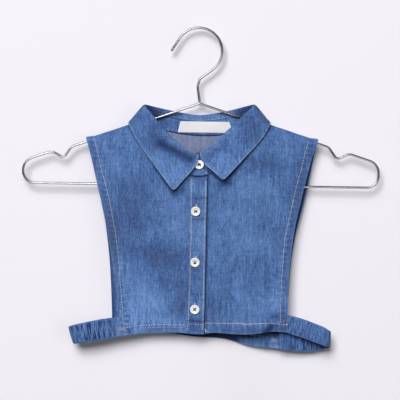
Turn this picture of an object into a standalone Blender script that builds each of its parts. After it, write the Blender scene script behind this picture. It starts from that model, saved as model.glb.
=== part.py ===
"""Detachable shirt collar hung on a wire hanger.

A bib of two fronts and a back, with a stand and a pointed leaf round the neck, closed by a button
band and held at the bottom corners by two gathered elastic straps. Each sewn piece is one wall.

Lengths below are in millimetres, and MM turns them into Blender's metres. +X is the wearer's left,
-Y is the front and +Z is up. The origin is where a rail carries the hook: inside its top.
"""

import math
from collections import namedtuple

import bmesh
import bpy
import numpy as np
from mathutils import Matrix, Vector

MM = 0.001
SHARP_ANGLE = 35.0

# Walls and seams
SEAM_GAP = 0.3
CLOTH_WALL = 1.0
HEM_WALL = 1.3
STAND_WALL = 1.3
LEAF_WALL = 1.3
PLACKET_WALL = 1.0
STRAP_WALL = 1.5
LABEL_WALL = 0.5

# Hanger
WIRE_RADIUS = 1.45
WIRE_SIDES_RESOLUTION = 2
HANGER_MIDDLE = 4.2
APEX_X = 1.6
APEX_Z = -85.6
APEX_BEND = 4.0
HOOK_RADIUS = 26.6
HOOK_FROM_ANGLE = 148.0
HOOK_TO_ANGLE = -52.0
HOOK_LEAD = 17.5
HOOK_STEPS = 20
BEND_STEP = 18.0

Corner = namedtuple("Corner", "x z bend")
# The frame's halves, outwards from its middle: shoulder, notch, lobe, outer end and bottom bar.
# The wearer's left arm has been bent up a little.
FRAME_RIGHT = (
    Corner(149.0, -137.2, 12.0),
    Corner(158.0, -150.3, 5.0),
    Corner(171.5, -142.8, 12.0),
    Corner(204.4, -154.0, 15.0),
    Corner(204.4, -179.6, 13.5),
)
FRAME_LEFT = (
    Corner(146.5, -133.8, 10.0),
    Corner(156.2, -148.0, 5.0),
    Corner(170.0, -140.9, 10.0),
    Corner(204.4, -152.2, 15.0),
    Corner(204.4, -179.6, 13.5),
)
# The hook's stem, from the end of its arc down to the frame.
STEM_CORNERS = (
    Corner(1.2, -57.6, 5.0),
    Corner(-1.0, -66.0, 9.0),
    Corner(1.6, -84.05, 0.0),
)

# Body of the bib
RIDGE_SEAM = 0.3
RIDGE_CLEARANCE = 0.45
RIDGE_RADIUS = WIRE_RADIUS + RIDGE_CLEARANCE + HEM_WALL
RIDGE_BENDS = (90, 75, 50, 25, 0)
TIP_RISE = 2.2
TIP_HEM = 12.0
SIDE_HEM = 9.0
BOTTOM_HEM = 11.0
HEM_STEP = 0.8
RISE_DROP = 25.0
FULLNESS_POWER = 1.3
BACK_FULLNESS = 3.5
ARMHOLE_OPEN = 1.8
ARMHOLE_FROM = 128.0
ARMHOLE_TO = 172.0
HEM_OPEN = 2.0
HEM_OPEN_FROM = 270.0
HEM_OPEN_TO = 335.0
UNDERLAP = 2.4
UNDERLAP_INSIDE = 14.0
UNDERLAP_OUTSIDE = 55.0

# Rows and columns of the panels' points
PANEL_ROWS = 15
SHOULDER_COLUMNS = 4
NECK_COLUMNS = 12
NECK_CROWDING = 1.3
BACK_NECK_COLUMNS = 15
BAND_COLUMNS = 3

# A front: how far round the neck it follows the seam freely, and where its inner edge starts and ends.
Front = namedtuple("Front", "side name neck_reach inner_angle hem_x")
RIGHT_FRONT = Front(-1, "right_front", 83.0, -187.3, 10.2)
LEFT_FRONT = Front(1, "left_front", 90.0, 187.6, -9.8)

SideEdge = namedtuple("SideEdge", "z right_front left_front right_back left_back")
SIDE_EDGES = (
    SideEdge(-354, -89.8, 106.4, -95.2, 104.6),
    SideEdge(-300, -93.2, 106.2, -97.2, 107.5),
    SideEdge(-265, -97.7, 108.3, -99.7, 110.0),
    SideEdge(-235, -103.0, 111.6, -103.4, 114.3),
    SideEdge(-205, -108.4, 117.4, -108.4, 121.6),
    SideEdge(-175, -115.6, 124.3, -115.4, 128.4),
    SideEdge(-150, -121.6, 130.4, -121.6, 132.8),
    SideEdge(-127, -128.3, 138.4, -128.3, 138.4),
)

Hem = namedtuple("Hem", "x front back")
HEMS = (
    Hem(-97, -355.2, -354.5),
    Hem(-79, -352.8, -351.0),
    Hem(-60, -349.8, -350.0),
    Hem(-35, -348.7, -350.6),
    Hem(-12, -348.9, -353.0),
    Hem(0, -350.0, -354.6),
    Hem(10, -350.0, -355.0),
    Hem(18, -348.4, -355.0),
    Hem(40, -349.2, -357.2),
    Hem(60, -349.7, -363.4),
    Hem(76, -348.0, -365.3),
    Hem(86, -346.0, -365.9),
    Hem(107, -346.8, -367.6),
)

CentreFront = namedtuple("CentreFront", "z fullness")
CENTRE_FRONT = (
    CentreFront(-370, 1.0),
    CentreFront(-346, 2.0),
    CentreFront(-300, 6.0),
    CentreFront(-260, 12.0),
    CentreFront(-220, 19.5),
    CentreFront(-180, 26.0),
    CentreFront(-140, 27.0),
)

# Collar: sections by angle round the neck, 0 at the centre back, 90 at the wearer's left shoulder.
MIDDLE_X = 1.5
NECK_HALF_WIDTH = 76.5
FOLD_HALF_WIDTH = 62.0
FOLD_MIDDLE_Y = -8.0
FOLD_HALF_DEPTH = 16.5
STAND_SHARE = 0.76
STAND_SEAM = 0.75
LEAF_SEAM = 0.5
ROLL_RADIUS = 3.0
ROLL_DEPTH = 2.7
STAND_ENDS = (-188.6, 187.6)
LEAF_ENDS = (-180.0, 178.6)
LEAF_BOW = 2.5
LEAF_SPRING = 1.2
LEAF_LEAVE = 0.33
LEAF_ARRIVE = 0.4
LEAF_BENDS = (0, 35, 70, 110, 145, 180)
LEAF_FALL_ROWS = 6
LEAF_COLUMNS = 58
STAND_ROWS = 4

# Columns of the stand round the neck, closer together where it turns over the shoulders.
Span = namedtuple("Span", "first last columns")
STAND_SPANS = (
    Span(STAND_ENDS[0], -100, 12),
    Span(-95, -75, 7),
    Span(-68, 68, 16),
    Span(75, 95, 7),
    Span(100, STAND_ENDS[1], 12),
)

CollarSection = namedtuple("CollarSection", "angle neck fold edge_x edge_z lift")
COLLAR_SECTIONS = (
    CollarSection(-180, -171.0, -145.6, -26.3, -187.6, 3.5),
    CollarSection(-150, -151.5, -126.3, -48.5, -158.0, 1.5),
    CollarSection(-120, -123.2, -100.4, -70.0, -128.2, 0.6),
    CollarSection(-90, -108.8, -89.9, -80.9, -106.5, 0.4),
    CollarSection(-60, -112.0, -90.0, -70.0, -122.0, 1.0),
    CollarSection(-30, -118.2, -94.0, -38.0, -131.5, 1.2),
    CollarSection(0, -123.2, -98.3, 2.0, -135.6, 1.2),
    CollarSection(30, -120.2, -93.6, 41.0, -130.5, 1.2),
    CollarSection(60, -112.0, -88.4, 73.0, -120.5, 1.0),
    CollarSection(90, -107.8, -88.0, 83.6, -105.5, 0.5),
    CollarSection(120, -122.0, -96.4, 74.2, -124.4, 0.8),
    CollarSection(150, -150.8, -118.4, 52.4, -149.4, 3.0),
    CollarSection(180, -171.0, -143.0, 28.3, -175.9, 7.5),
)

# Button band, from the right front's inner edge
PLACKET_WIDTH = 20.0

# Buttons
BUTTON_RADIUS = 5.4
BUTTON_THICKNESS = 2.0
BUTTON_RIM = 1.1
BUTTON_DISH = 0.7
BUTTON_BEVEL = 0.6
BUTTON_DRAFT = 0.15
BUTTON_BLEND = 0.3
BUTTON_HOLE_RADIUS = 0.75
BUTTON_HOLE_PITCH = 2.5
BUTTON_SEGMENTS = 24
HOLE_SEGMENTS = 10
STAND_BUTTON = Corner(2.1, -157.1, 0.0)
BAND_BUTTONS = (
    Corner(-1.1, -209.0, 0.0),
    Corner(-1.0, -267.2, 0.0),
    Corner(-0.5, -321.5, 0.0),
)

# Straps: the middle of the ribbon, from the front to the back, its width and how far that leans.
GATHER_PITCH = 4.2
GATHER_HEIGHT = 0.7
GATHER_POINTS = 4
TUCK_FROM = 6.3
TUCK_TO = 11.7
STRAP_ROWS = 3

Strap = namedtuple("Strap", "x y z width lean")
RIGHT_STRAP = (
    Strap(-84.0, -4.3, -342.4, 21.4, 12),
    Strap(-94.9, -5.2, -344.4, 22.8, 11),
    Strap(-105.2, -6.6, -346.2, 23.4, 11),
    Strap(-116.0, -7.6, -348.2, 23.0, 11),
    Strap(-129.0, -7.8, -350.8, 22.4, 13),
    Strap(-138.0, -6.0, -352.8, 21.4, 15),
    Strap(-142.0, 0.0, -353.9, 20.6, 16),
    Strap(-138.0, 6.0, -353.3, 21.2, 15),
    Strap(-129.0, 7.8, -351.6, 22.2, 12),
    Strap(-110.0, 6.2, -348.4, 22.2, 9),
    Strap(-97.0, 3.6, -345.2, 21.4, 7),
    Strap(-88.0, 2.9, -343.4, 20.8, 6),
)
LEFT_STRAP = (
    Strap(99.0, -4.1, -335.5, 20.0, -14),
    Strap(108.8, -4.6, -337.9, 20.3, -15),
    Strap(117.2, -6.2, -340.0, 20.6, -17),
    Strap(125.5, -7.6, -342.6, 20.6, -18),
    Strap(136.0, -8.3, -346.3, 20.4, -17),
    Strap(146.5, -7.6, -350.3, 20.0, -13),
    Strap(152.6, -5.0, -353.4, 19.4, -6),
    Strap(155.3, 0.0, -354.5, 19.1, -1),
    Strap(152.6, 5.0, -355.8, 19.4, 0),
    Strap(146.0, 7.6, -357.4, 20.0, 1),
    Strap(136.0, 8.0, -359.0, 20.6, 1),
    Strap(122.0, 6.6, -359.4, 20.6, 1),
    Strap(107.0, 3.8, -358.0, 20.4, 0),
    Strap(97.0, 2.9, -357.0, 20.2, 0),
)

# Label, on the inside of the stand
LABEL_X = (-21.0, 37.0)
LABEL_Z = (-106.2, -119.0)
LABEL_COLUMNS = 10
LABEL_ROWS = 4

# Finishes: colour, roughness, metallic
CHAMBRAY = ("chambray", (0.075, 0.16, 0.36), 0.85, 0.0)
BAND_CHAMBRAY = ("chambray_band", (0.085, 0.18, 0.39), 0.85, 0.0)
ELASTIC = ("chambray_gathered", (0.06, 0.13, 0.31), 0.88, 0.0)
BUTTON_WHITE = ("button_white", (0.82, 0.81, 0.79), 0.35, 0.0)
LABEL_WHITE = ("label_white", (0.80, 0.79, 0.78), 0.75, 0.0)
STEEL = ("polished_wire", (0.62, 0.62, 0.63), 0.22, 1.0)


def clear_scene():
    for obj in list(bpy.data.objects):
        bpy.data.objects.remove(obj, do_unlink=True)


def finish(name, colour, roughness, metallic):
    """The material of that name, made when it is first asked for."""
    material = bpy.data.materials.get(name)
    if material is None:
        material = bpy.data.materials.new(name)
        material.use_nodes = True
        shader = material.node_tree.nodes["Principled BSDF"]
        shader.inputs["Base Color"].default_value = (*colour, 1.0)
        shader.inputs["Roughness"].default_value = roughness
        shader.inputs["Metallic"].default_value = metallic
    return material


def place(name, data, material):
    obj = bpy.data.objects.new(name, data)
    data.materials.append(finish(*material))
    bpy.context.scene.collection.objects.link(obj)
    return obj


def shade(mesh):
    mesh.shade_smooth()
    mesh.set_sharp_from_angle(angle=math.radians(SHARP_ANGLE))


def smooth(keys, values, at):
    """A cubic through the rows, with each row's slope taken from its neighbours."""
    keys = np.asarray(keys, float)
    values = np.asarray(values, float)
    at = np.asarray(at, float)
    slopes = np.gradient(values, keys)
    i = np.clip(np.searchsorted(keys, at, side="right") - 1, 0, len(keys) - 2)
    span = keys[i + 1] - keys[i]
    t = np.clip((at - keys[i]) / span, 0, 1)
    start = (1 + 2 * t) * (1 - t) ** 2
    leave = t * (1 - t) ** 2
    end = t * t * (3 - 2 * t)
    arrive = t * t * (t - 1)
    return (
        start * values[i]
        + leave * span * slopes[i]
        + end * values[i + 1]
        + arrive * span * slopes[i + 1]
    )


def read(table, key, name, at):
    """One column of a table, read between its rows."""
    rows = sorted(table, key=lambda row: getattr(row, key))
    keys = [getattr(row, key) for row in rows]
    return smooth(keys, [getattr(row, name) for row in rows], at)


def fade(value, low, high):
    """0 below low, 1 above high, and a soft step between."""
    t = np.clip((value - low) / (high - low), 0, 1)
    return t * t * (3 - 2 * t)


# Where the cloth lies


def wire_height(x):
    """The middle of the hanger's arm at this place across."""
    right, left = FRAME_RIGHT[0], FRAME_LEFT[0]
    fall_right = (right.z - APEX_Z) / (right.x - HANGER_MIDDLE + APEX_X)
    fall_left = (left.z - APEX_Z) / (left.x + HANGER_MIDDLE - APEX_X)
    return APEX_Z + np.where(x < APEX_X, fall_right, fall_left) * np.abs(x - APEX_X)


def ridge_height(x):
    """The top of the cloth over the wire. The hems make its two tips stiff, and they stand up."""
    tips = SIDE_EDGES[-1]
    inside = np.minimum(np.abs(x - tips.right_front), np.abs(x - tips.left_front))
    return wire_height(x) + RIDGE_RADIUS + TIP_RISE * (1 - fade(inside, 0, TIP_HEM))


def roll(drop, radius):
    """How far cloth that bends over a wire stands out, this far below the top of the bend."""
    left = radius - np.clip(drop, 0, radius)
    return np.sqrt(radius**2 - left**2)


def opened(z):
    """How far a panel stands off below the shoulder, so that armhole and hem are open."""
    armhole = ARMHOLE_OPEN * fade(-z, ARMHOLE_FROM, ARMHOLE_TO)
    return armhole + HEM_OPEN * fade(-z, HEM_OPEN_FROM, HEM_OPEN_TO)


def across(x, z, right, left):
    """0 at the side edge of a panel and 1 at its middle."""
    edge_right = read(SIDE_EDGES, "z", right, z)
    edge_left = read(SIDE_EDGES, "z", left, z)
    from_right = (x - edge_right) / (MIDDLE_X - edge_right)
    from_left = (edge_left - x) / (edge_left - MIDDLE_X)
    return np.clip(np.where(x < MIDDLE_X, from_right, from_left), 0, 1)


def front_y(x, z, out=0.0):
    """The fronts' outer face, or the surface this far out from it."""
    radius = RIDGE_RADIUS + out
    drop = ridge_height(x) + out - z
    fullness = read(CENTRE_FRONT, "z", "fullness", z)
    inwards = across(x, z, "right_front", "left_front")
    fullness = fullness * np.sin(math.pi / 2 * inwards) ** FULLNESS_POWER
    fullness = fullness * (1 - np.exp(-np.clip(drop, 0, None) / RISE_DROP))
    return -(RIDGE_SEAM + roll(drop, radius) + fullness + opened(z))


def back_y(x, z, out=0.0):
    """The back's outer face, or the surface this far out from it."""
    radius = RIDGE_RADIUS + out
    drop = ridge_height(x) + out - z
    fullness = BACK_FULLNESS * np.sin(math.pi / 2 * across(x, z, "right_back", "left_back"))
    fullness = fullness * (1 - np.exp(-np.clip(drop, 0, None) / RISE_DROP))
    return RIDGE_SEAM + roll(drop, radius) + fullness + opened(z)


def underlap(x):
    """How far the left front lies behind the right one's surface."""
    return UNDERLAP * (1 - fade(x, UNDERLAP_INSIDE, UNDERLAP_OUTSIDE))


def mirrored(row):
    """The row that carries the neckline and the fold on past the centre front."""
    return row._replace(angle=math.copysign(360.0, row.angle) - row.angle)


def section(name, angle):
    """A column of the collar's table. Past the centre front it runs on as it came."""
    beyond = (mirrored(COLLAR_SECTIONS[1]), mirrored(COLLAR_SECTIONS[-2]))
    rows = COLLAR_SECTIONS + (beyond if name in ("neck", "fold") else ())
    return read(rows, "angle", name, angle)


def neckline(angle):
    """Across and height of the neckline at this angle round the neck."""
    x = MIDDLE_X + NECK_HALF_WIDTH * np.sin(np.radians(angle))
    return x, np.minimum(section("neck", angle), ridge_height(x))


def is_front(angle):
    return np.abs(angle) > 90.0


# Sheets


def grid_normals(grid):
    along = np.gradient(grid, axis=0)
    over = np.gradient(grid, axis=1)
    normals = np.cross(along, over)
    return normals / np.linalg.norm(normals, axis=2, keepdims=True)


def moved_out(grid, distance):
    """The same points, each moved along the sheet's own normal."""
    return grid + distance * grid_normals(grid)


def sheet(name, grid, wall, material, hem=None, centred=False):
    """A cloth wall on a grid of points, thicker where hem is 1. The grid is its outer face."""
    rows, columns = grid.shape[:2]
    shape = bmesh.new()
    points = [shape.verts.new(point) for point in (grid * MM).reshape(-1, 3)]
    for row in range(rows - 1):
        for column in range(columns - 1):
            first = row * columns + column
            corners = (first, first + columns, first + columns + 1, first + 1)
            shape.faces.new([points[corner] for corner in corners])
    mesh = bpy.data.meshes.new(name)
    shape.to_mesh(mesh)
    shape.free()
    mesh.shade_smooth()
    obj = place(name, mesh, material)
    solid = obj.modifiers.new("wall", "SOLIDIFY")
    solid.thickness = (wall if hem is None else HEM_WALL) * MM
    solid.offset = 0.0 if centred else -1.0
    if hem is not None:
        group = obj.vertex_groups.new(name="hem")
        group.add([int(i) for i in np.flatnonzero(hem.reshape(-1))], 1.0, "REPLACE")
        solid.vertex_group = group.name
        solid.thickness_vertex_group = wall / HEM_WALL
    return obj


def panel_grid(top, bottom, right_edge, left_edge):
    """Across and height of a panel's points, from its four edges.

    top and bottom hold one point for each column, and the two edges are functions of a share of
    the way down. Rows close to the ridge follow its bend, and two rows mark the bottom hem.
    """
    share = (bottom[:, 0] - bottom[0, 0]) / (bottom[-1, 0] - bottom[0, 0])
    length = np.linalg.norm(top - bottom, axis=1)
    bend = RIDGE_RADIUS * (1 - np.sin(np.radians(RIDGE_BENDS)))
    rows = []
    for at in bend:
        rows.append(at / length)
    first = bend[-1] / length
    last = 1 - (BOTTOM_HEM + HEM_STEP) / length
    for step in range(1, PANEL_ROWS + 1):
        rows.append(first + (last - first) * step / PANEL_ROWS)
    rows.append(1 - BOTTOM_HEM / length)
    rows.append(1 - BOTTOM_HEM / 2 / length)
    rows.append(np.ones_like(length))
    down = np.array(rows)[:, :, None]
    share = share[None, :, None]
    right = np.stack([right_edge(column) for column in down[:, :, 0].T], axis=1)
    left = np.stack([left_edge(column) for column in down[:, :, 0].T], axis=1)
    top_off = top[None] - (1 - share) * top[0] - share * top[-1]
    bottom_off = bottom[None] - (1 - share) * bottom[0] - share * bottom[-1]
    return (1 - share) * right + share * left + (1 - down) * top_off + down * bottom_off


def side_edge(name, top, bottom):
    """A panel's side edge, as a function of a share of the way down."""

    def at(down):
        z = top[1] + (bottom[1] - top[1]) * down
        x = read(SIDE_EDGES, "z", name, z)
        x = x + (1 - down) * (top[0] - read(SIDE_EDGES, "z", name, top[1]))
        x = x + down * (bottom[0] - read(SIDE_EDGES, "z", name, bottom[1]))
        return np.stack([x, z], axis=-1)

    return at


def straight_edge(top, bottom):
    def at(down):
        return np.asarray(top) + (np.asarray(bottom) - np.asarray(top)) * np.asarray(down)[:, None]

    return at


def hem_columns(end, other, count, sign):
    """Places across from a side edge inwards: its folded hem, then even steps."""
    inner = np.linspace(end + sign * (SIDE_HEM + HEM_STEP), other, count)
    return np.concatenate([[end, end + sign * SIDE_HEM / 2, end + sign * SIDE_HEM], inner])


def shoulder(x):
    return np.stack([x, ridge_height(x)], axis=1)


def hem_line(x, name):
    return np.stack([x, read(HEMS, "x", name, x)], axis=1)


def hem_mask(grid, both_sides):
    """1 on the rows and columns of the folded hems."""
    mask = np.zeros(grid.shape[:2])
    mask[-3:] = 1
    mask[:, :3] = 1
    if both_sides:
        mask[:, -3:] = 1
    return mask


def front_grid(front):
    """Points of one front, from its side edge to its inner edge."""
    side = front.side
    tip_x = getattr(SIDE_EDGES[-1], front.name)
    corner_x = getattr(SIDE_EDGES[0], front.name)
    neck_x = float(neckline(side * 90.0)[0])
    shoulders = shoulder(hem_columns(tip_x, neck_x, SHOULDER_COLUMNS, -side))
    shares = np.linspace(0.0, 1.0, NECK_COLUMNS + 1)[1:]
    angles = side * (90.0 + front.neck_reach * shares**NECK_CROWDING)
    band_angles = np.linspace(angles[-1], front.inner_angle, BAND_COLUMNS + 1)[1:]
    neck = np.stack(neckline(np.concatenate([angles, band_angles])), axis=1)
    top = np.concatenate([shoulders, neck])
    band_start = front.hem_x - PLACKET_WIDTH if side < 0 else UNDERLAP_INSIDE
    inside = hem_columns(corner_x, band_start, len(top) - 3 - BAND_COLUMNS, -side)
    band = np.linspace(band_start, front.hem_x, BAND_COLUMNS + 1)[1:]
    bottom = hem_line(np.concatenate([inside, band]), "front")
    edge = side_edge(front.name, top[0], bottom[0])
    inner = straight_edge(top[-1], bottom[-1])
    plan = panel_grid(top, bottom, edge, inner)
    x, z = plan[..., 0], plan[..., 1]
    y = front_y(x, z)
    if side > 0:
        y = y + underlap(x)
    return np.stack([x, y, z], axis=-1)


def back_grid():
    """Points of the back, from the wearer's right edge to the left one."""
    tips = SIDE_EDGES[-1]
    corners = SIDE_EDGES[0]
    right_neck = float(neckline(-90.0)[0])
    left_neck = float(neckline(90.0)[0])
    right = shoulder(hem_columns(tips.right_back, right_neck, SHOULDER_COLUMNS, 1))
    left = shoulder(hem_columns(tips.left_back, left_neck, SHOULDER_COLUMNS, -1))[::-1]
    angles = np.linspace(-90.0, 90.0, BACK_NECK_COLUMNS + 2)[1:-1]
    neck = np.stack(neckline(angles), axis=1)
    top = np.concatenate([right, neck, left])
    half = len(top) // 2
    middle = 0.5 * (corners.right_back + corners.left_back)
    right_hem = hem_columns(corners.right_back, middle, half - 2, 1)
    left_hem = hem_columns(corners.left_back, middle, half - 2, -1)[::-1]
    bottom = hem_line(np.concatenate([right_hem, left_hem[1:]]), "back")
    edge_right = side_edge("right_back", top[0], bottom[0])
    edge_left = side_edge("left_back", top[-1], bottom[-1])
    plan = panel_grid(top, bottom, edge_right, edge_left)
    x, z = plan[..., 0], plan[..., 1]
    return np.stack([x, back_y(x, z), z], axis=-1)


# Collar


def neck_edge(angle):
    """The outer face of the stand's lower edge."""
    x, z = neckline(angle)
    y = np.where(is_front(angle), front_y(x, z), back_y(x, z))
    y = y + np.where(angle > 90, underlap(x), 0)
    return np.stack([x, y, z + STAND_SEAM], axis=-1)


def roll_start(angle):
    """The outer face of the stand's line where the fold begins."""
    turn = np.radians(angle)
    x = MIDDLE_X + FOLD_HALF_WIDTH * np.sin(turn)
    y = FOLD_MIDDLE_Y + FOLD_HALF_DEPTH * np.cos(turn)
    y = y + np.where(angle > 90, underlap(x), 0)
    return np.stack([x, y, section("fold", angle) - ROLL_DEPTH], axis=-1)


def stand_point(angle, share):
    """The outer face of the collar round the neck, this share of the way from neckline to fold."""
    low = neck_edge(angle)
    return low + (roll_start(angle) - low) * np.asarray(share)[..., None]


def stand_grid():
    angles = np.concatenate([np.linspace(*span) for span in STAND_SPANS])
    shares = np.linspace(0, STAND_SHARE, STAND_ROWS)
    return np.array([stand_point(angles, np.full(angles.shape, share)) for share in shares])


def leaf_edge(angle):
    """The outer face of the leaf's free edge, which rests on the fronts, shoulders and back."""
    x = section("edge_x", angle)
    out = SEAM_GAP + LEAF_WALL + section("lift", angle)
    z = np.minimum(section("edge_z", angle), ridge_height(x) + out)
    y = np.where(is_front(angle), front_y(x, z, out), back_y(x, z, out))
    return np.stack([x, y, z], axis=-1)


def unit(vectors):
    return vectors / np.linalg.norm(vectors, axis=-1, keepdims=True)


def leaf_grid():
    """Points of the leaf's face: up from the stand, over the fold and down to the free edge."""
    angles = np.linspace(*LEAF_ENDS, LEAF_COLUMNS)
    low = neck_edge(angles)
    top = roll_start(angles)
    up = unit(top - low)
    turn = np.radians(angles)
    outwards = np.stack([
        FOLD_HALF_DEPTH * np.sin(turn),
        FOLD_HALF_WIDTH * np.cos(turn),
        np.zeros_like(turn),
    ], axis=-1)
    outwards = unit(outwards - up * (outwards * up).sum(axis=-1, keepdims=True))
    seam = stand_point(angles, np.full(angles.shape, STAND_SHARE)) + up * LEAF_SEAM
    middle = top + outwards * (ROLL_RADIUS - LEAF_WALL)
    rows = [seam - outwards * LEAF_WALL]
    for bend in np.radians(LEAF_BENDS):
        rows.append(middle + ROLL_RADIUS * (-outwards * math.cos(bend) + up * math.sin(bend)))
    start = rows[-1]
    edge = leaf_edge(angles)
    reach = np.linalg.norm(edge - start, axis=-1, keepdims=True)
    slack = np.abs(np.cos(turn))[:, None]
    leave = start - up * reach * LEAF_LEAVE + outwards * LEAF_SPRING * slack
    arrive = edge + (start - edge) * LEAF_ARRIVE + outwards * LEAF_BOW * slack
    for t in np.linspace(0, 1, LEAF_FALL_ROWS + 1)[1:]:
        curve = (1 - t) ** 3 * start + 3 * t * (1 - t) ** 2 * leave
        curve = curve + 3 * t * t * (1 - t) * arrive + t**3 * edge
        rows.append(curve)
    return np.array(rows)


def label_grid():
    """The label's face, towards the neck, on the inside of the stand."""
    half_width = (NECK_HALF_WIDTH + FOLD_HALF_WIDTH) / 2
    low, high = np.degrees(np.arcsin((np.array(LABEL_X) - MIDDLE_X) / half_width))
    angles = np.linspace(low, high, LABEL_COLUMNS)
    bottom = neck_edge(angles)[:, 2]
    top = roll_start(angles)[:, 2]
    levels = np.linspace(*LABEL_Z, LABEL_ROWS)
    return np.array([stand_point(angles, (level - bottom) / (top - bottom)) for level in levels])


# Pieces


def strap_grid(table):
    """The middle of a gathered strap: a ribbon along its path, with waves across its length."""
    path = np.array([(row.x, row.y, row.z) for row in table], float)
    steps = np.linalg.norm(np.diff(path, axis=0), axis=1)
    at = np.concatenate([[0], np.cumsum(steps)])
    length = at[-1]
    count = int(length / GATHER_PITCH) * GATHER_POINTS + 1
    places = np.linspace(0, length, count)
    line = np.stack([smooth(at, path[:, axis], places) for axis in range(3)], axis=1)
    lean = np.radians(smooth(at, [row.lean for row in table], places))
    along = np.gradient(line, axis=0)
    side = unit(np.stack([along[:, 1], -along[:, 0], np.zeros(count)], axis=1))
    ends = fade(places, TUCK_FROM, TUCK_TO) * fade(length - places, TUCK_FROM, TUCK_TO)
    wave = GATHER_HEIGHT * np.sin(2 * math.pi * np.arange(count) / GATHER_POINTS) * ends
    line = line + side * wave[:, None]
    width = np.stack([np.sin(lean), np.zeros(count), -np.cos(lean)], axis=1)
    width = width * smooth(at, [row.width for row in table], places)[:, None]
    return np.array([line + width * offset for offset in np.linspace(-0.5, 0.5, STRAP_ROWS)])


def bent(corners):
    """A route through corners, each rounded to its bend."""
    places = [Vector((corner.x, 0, corner.z)) for corner in corners]
    route = [places[0]]
    for before, here, after, corner in zip(places, places[1:], places[2:], corners[1:-1]):
        back = (before - here).normalized()
        on = (after - here).normalized()
        half = back.angle(on) / 2
        reach = corner.bend / math.tan(half)
        middle = here + (back + on).normalized() * (corner.bend / math.sin(half))
        start = here + back * reach - middle
        turn = math.pi - 2 * half
        axis = back.cross(on).normalized()
        count = max(2, math.ceil(math.degrees(turn) / BEND_STEP))
        for step in range(count + 1):
            rotation = Matrix.Rotation(-turn * step / count, 3, axis)
            route.append(middle + rotation @ start)
    route.append(places[-1])
    return route


def wire(name, route, closed):
    curve = bpy.data.curves.new(name, "CURVE")
    curve.dimensions = "3D"
    curve.bevel_depth = WIRE_RADIUS * MM
    curve.bevel_resolution = WIRE_SIDES_RESOLUTION
    curve.use_fill_caps = not closed
    spline = curve.splines.new("POLY")
    spline.points.add(len(route) - 1)
    for point, place_at in zip(spline.points, route):
        point.co = (*(Vector(place_at) * MM), 1.0)
    spline.use_cyclic_u = closed
    spline.use_smooth = True
    return place(name, curve, STEEL)


def build_hanger():
    left = [Corner(HANGER_MIDDLE + c.x, c.z, c.bend) for c in FRAME_LEFT]
    right = [Corner(HANGER_MIDDLE - c.x, c.z, c.bend) for c in reversed(FRAME_RIGHT)]
    bar_middle = Corner(HANGER_MIDDLE, FRAME_LEFT[-1].z, 0.0)
    apex = Corner(APEX_X, APEX_Z, APEX_BEND)
    route = bent([bar_middle, *right, apex, *left, bar_middle])
    wire("hanger_frame", route[:-1], True)

    middle = Vector((0, 0, WIRE_RADIUS - HOOK_RADIUS))
    arc = []
    for angle in np.radians(np.linspace(HOOK_FROM_ANGLE, HOOK_TO_ANGLE, HOOK_STEPS + 1)):
        arc.append(middle + HOOK_RADIUS * Vector((math.cos(angle), 0, math.sin(angle))))
    first = math.radians(HOOK_FROM_ANGLE)
    lead = arc[0] + HOOK_LEAD * Vector((-math.sin(first), 0, math.cos(first)))
    end = Corner(arc[-1].x, arc[-1].z, 0.0)
    wire("hanger_hook", [lead, *arc[:-1], *bent([end, *STEM_CORNERS])], False)


def button_mesh():
    """A turned button with a raised rim and four holes, its back on z = 0."""
    profile = (
        (0.0, 0.0),
        (BUTTON_RADIUS - BUTTON_BEVEL, 0.0),
        (BUTTON_RADIUS, BUTTON_BEVEL),
        (BUTTON_RADIUS - BUTTON_DRAFT, BUTTON_THICKNESS - BUTTON_BLEND),
        (BUTTON_RADIUS - BUTTON_BEVEL, BUTTON_THICKNESS),
        (BUTTON_RADIUS - BUTTON_RIM, BUTTON_THICKNESS),
        (BUTTON_RADIUS - BUTTON_RIM - BUTTON_DISH, BUTTON_THICKNESS - BUTTON_DISH),
        (0.0, BUTTON_THICKNESS - BUTTON_DISH),
    )
    shape = bmesh.new()
    line = [shape.verts.new((radius * MM, 0, height * MM)) for radius, height in profile]
    edges = [shape.edges.new(pair) for pair in zip(line, line[1:])]
    bmesh.ops.spin(
        shape, geom=line + edges, axis=(0, 0, 1), cent=(0, 0, 0), angle=2 * math.pi,
        steps=BUTTON_SEGMENTS, use_merge=True,
    )
    bmesh.ops.remove_doubles(shape, verts=shape.verts, dist=1e-6)
    bmesh.ops.recalc_face_normals(shape, faces=shape.faces)
    mesh = bpy.data.meshes.new("button")
    shape.to_mesh(mesh)
    shape.free()
    blank = place("button_blank", mesh, BUTTON_WHITE)
    cutters = []
    for turn in np.radians((45, 135, 225, 315)):
        shape = bmesh.new()
        bmesh.ops.create_cone(
            shape, cap_ends=True, segments=HOLE_SEGMENTS, depth=4 * BUTTON_THICKNESS * MM,
            radius1=BUTTON_HOLE_RADIUS * MM, radius2=BUTTON_HOLE_RADIUS * MM,
        )
        hole = bpy.data.meshes.new("button_hole")
        shape.to_mesh(hole)
        shape.free()
        cutter = bpy.data.objects.new("button_hole", hole)
        cutter.location = (
            BUTTON_HOLE_PITCH / math.sqrt(2) * MM * math.cos(turn),
            BUTTON_HOLE_PITCH / math.sqrt(2) * MM * math.sin(turn),
            0,
        )
        bpy.context.scene.collection.objects.link(cutter)
        cut = blank.modifiers.new(cutter.name, "BOOLEAN")
        cut.operation = "DIFFERENCE"
        cut.object = cutter
        cutters.append(cutter)
    graph = bpy.context.evaluated_depsgraph_get()
    drilled = bpy.data.meshes.new_from_object(blank.evaluated_get(graph))
    shade(drilled)
    for obj in (blank, *cutters):
        bpy.data.objects.remove(obj, do_unlink=True)
    return drilled


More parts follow.
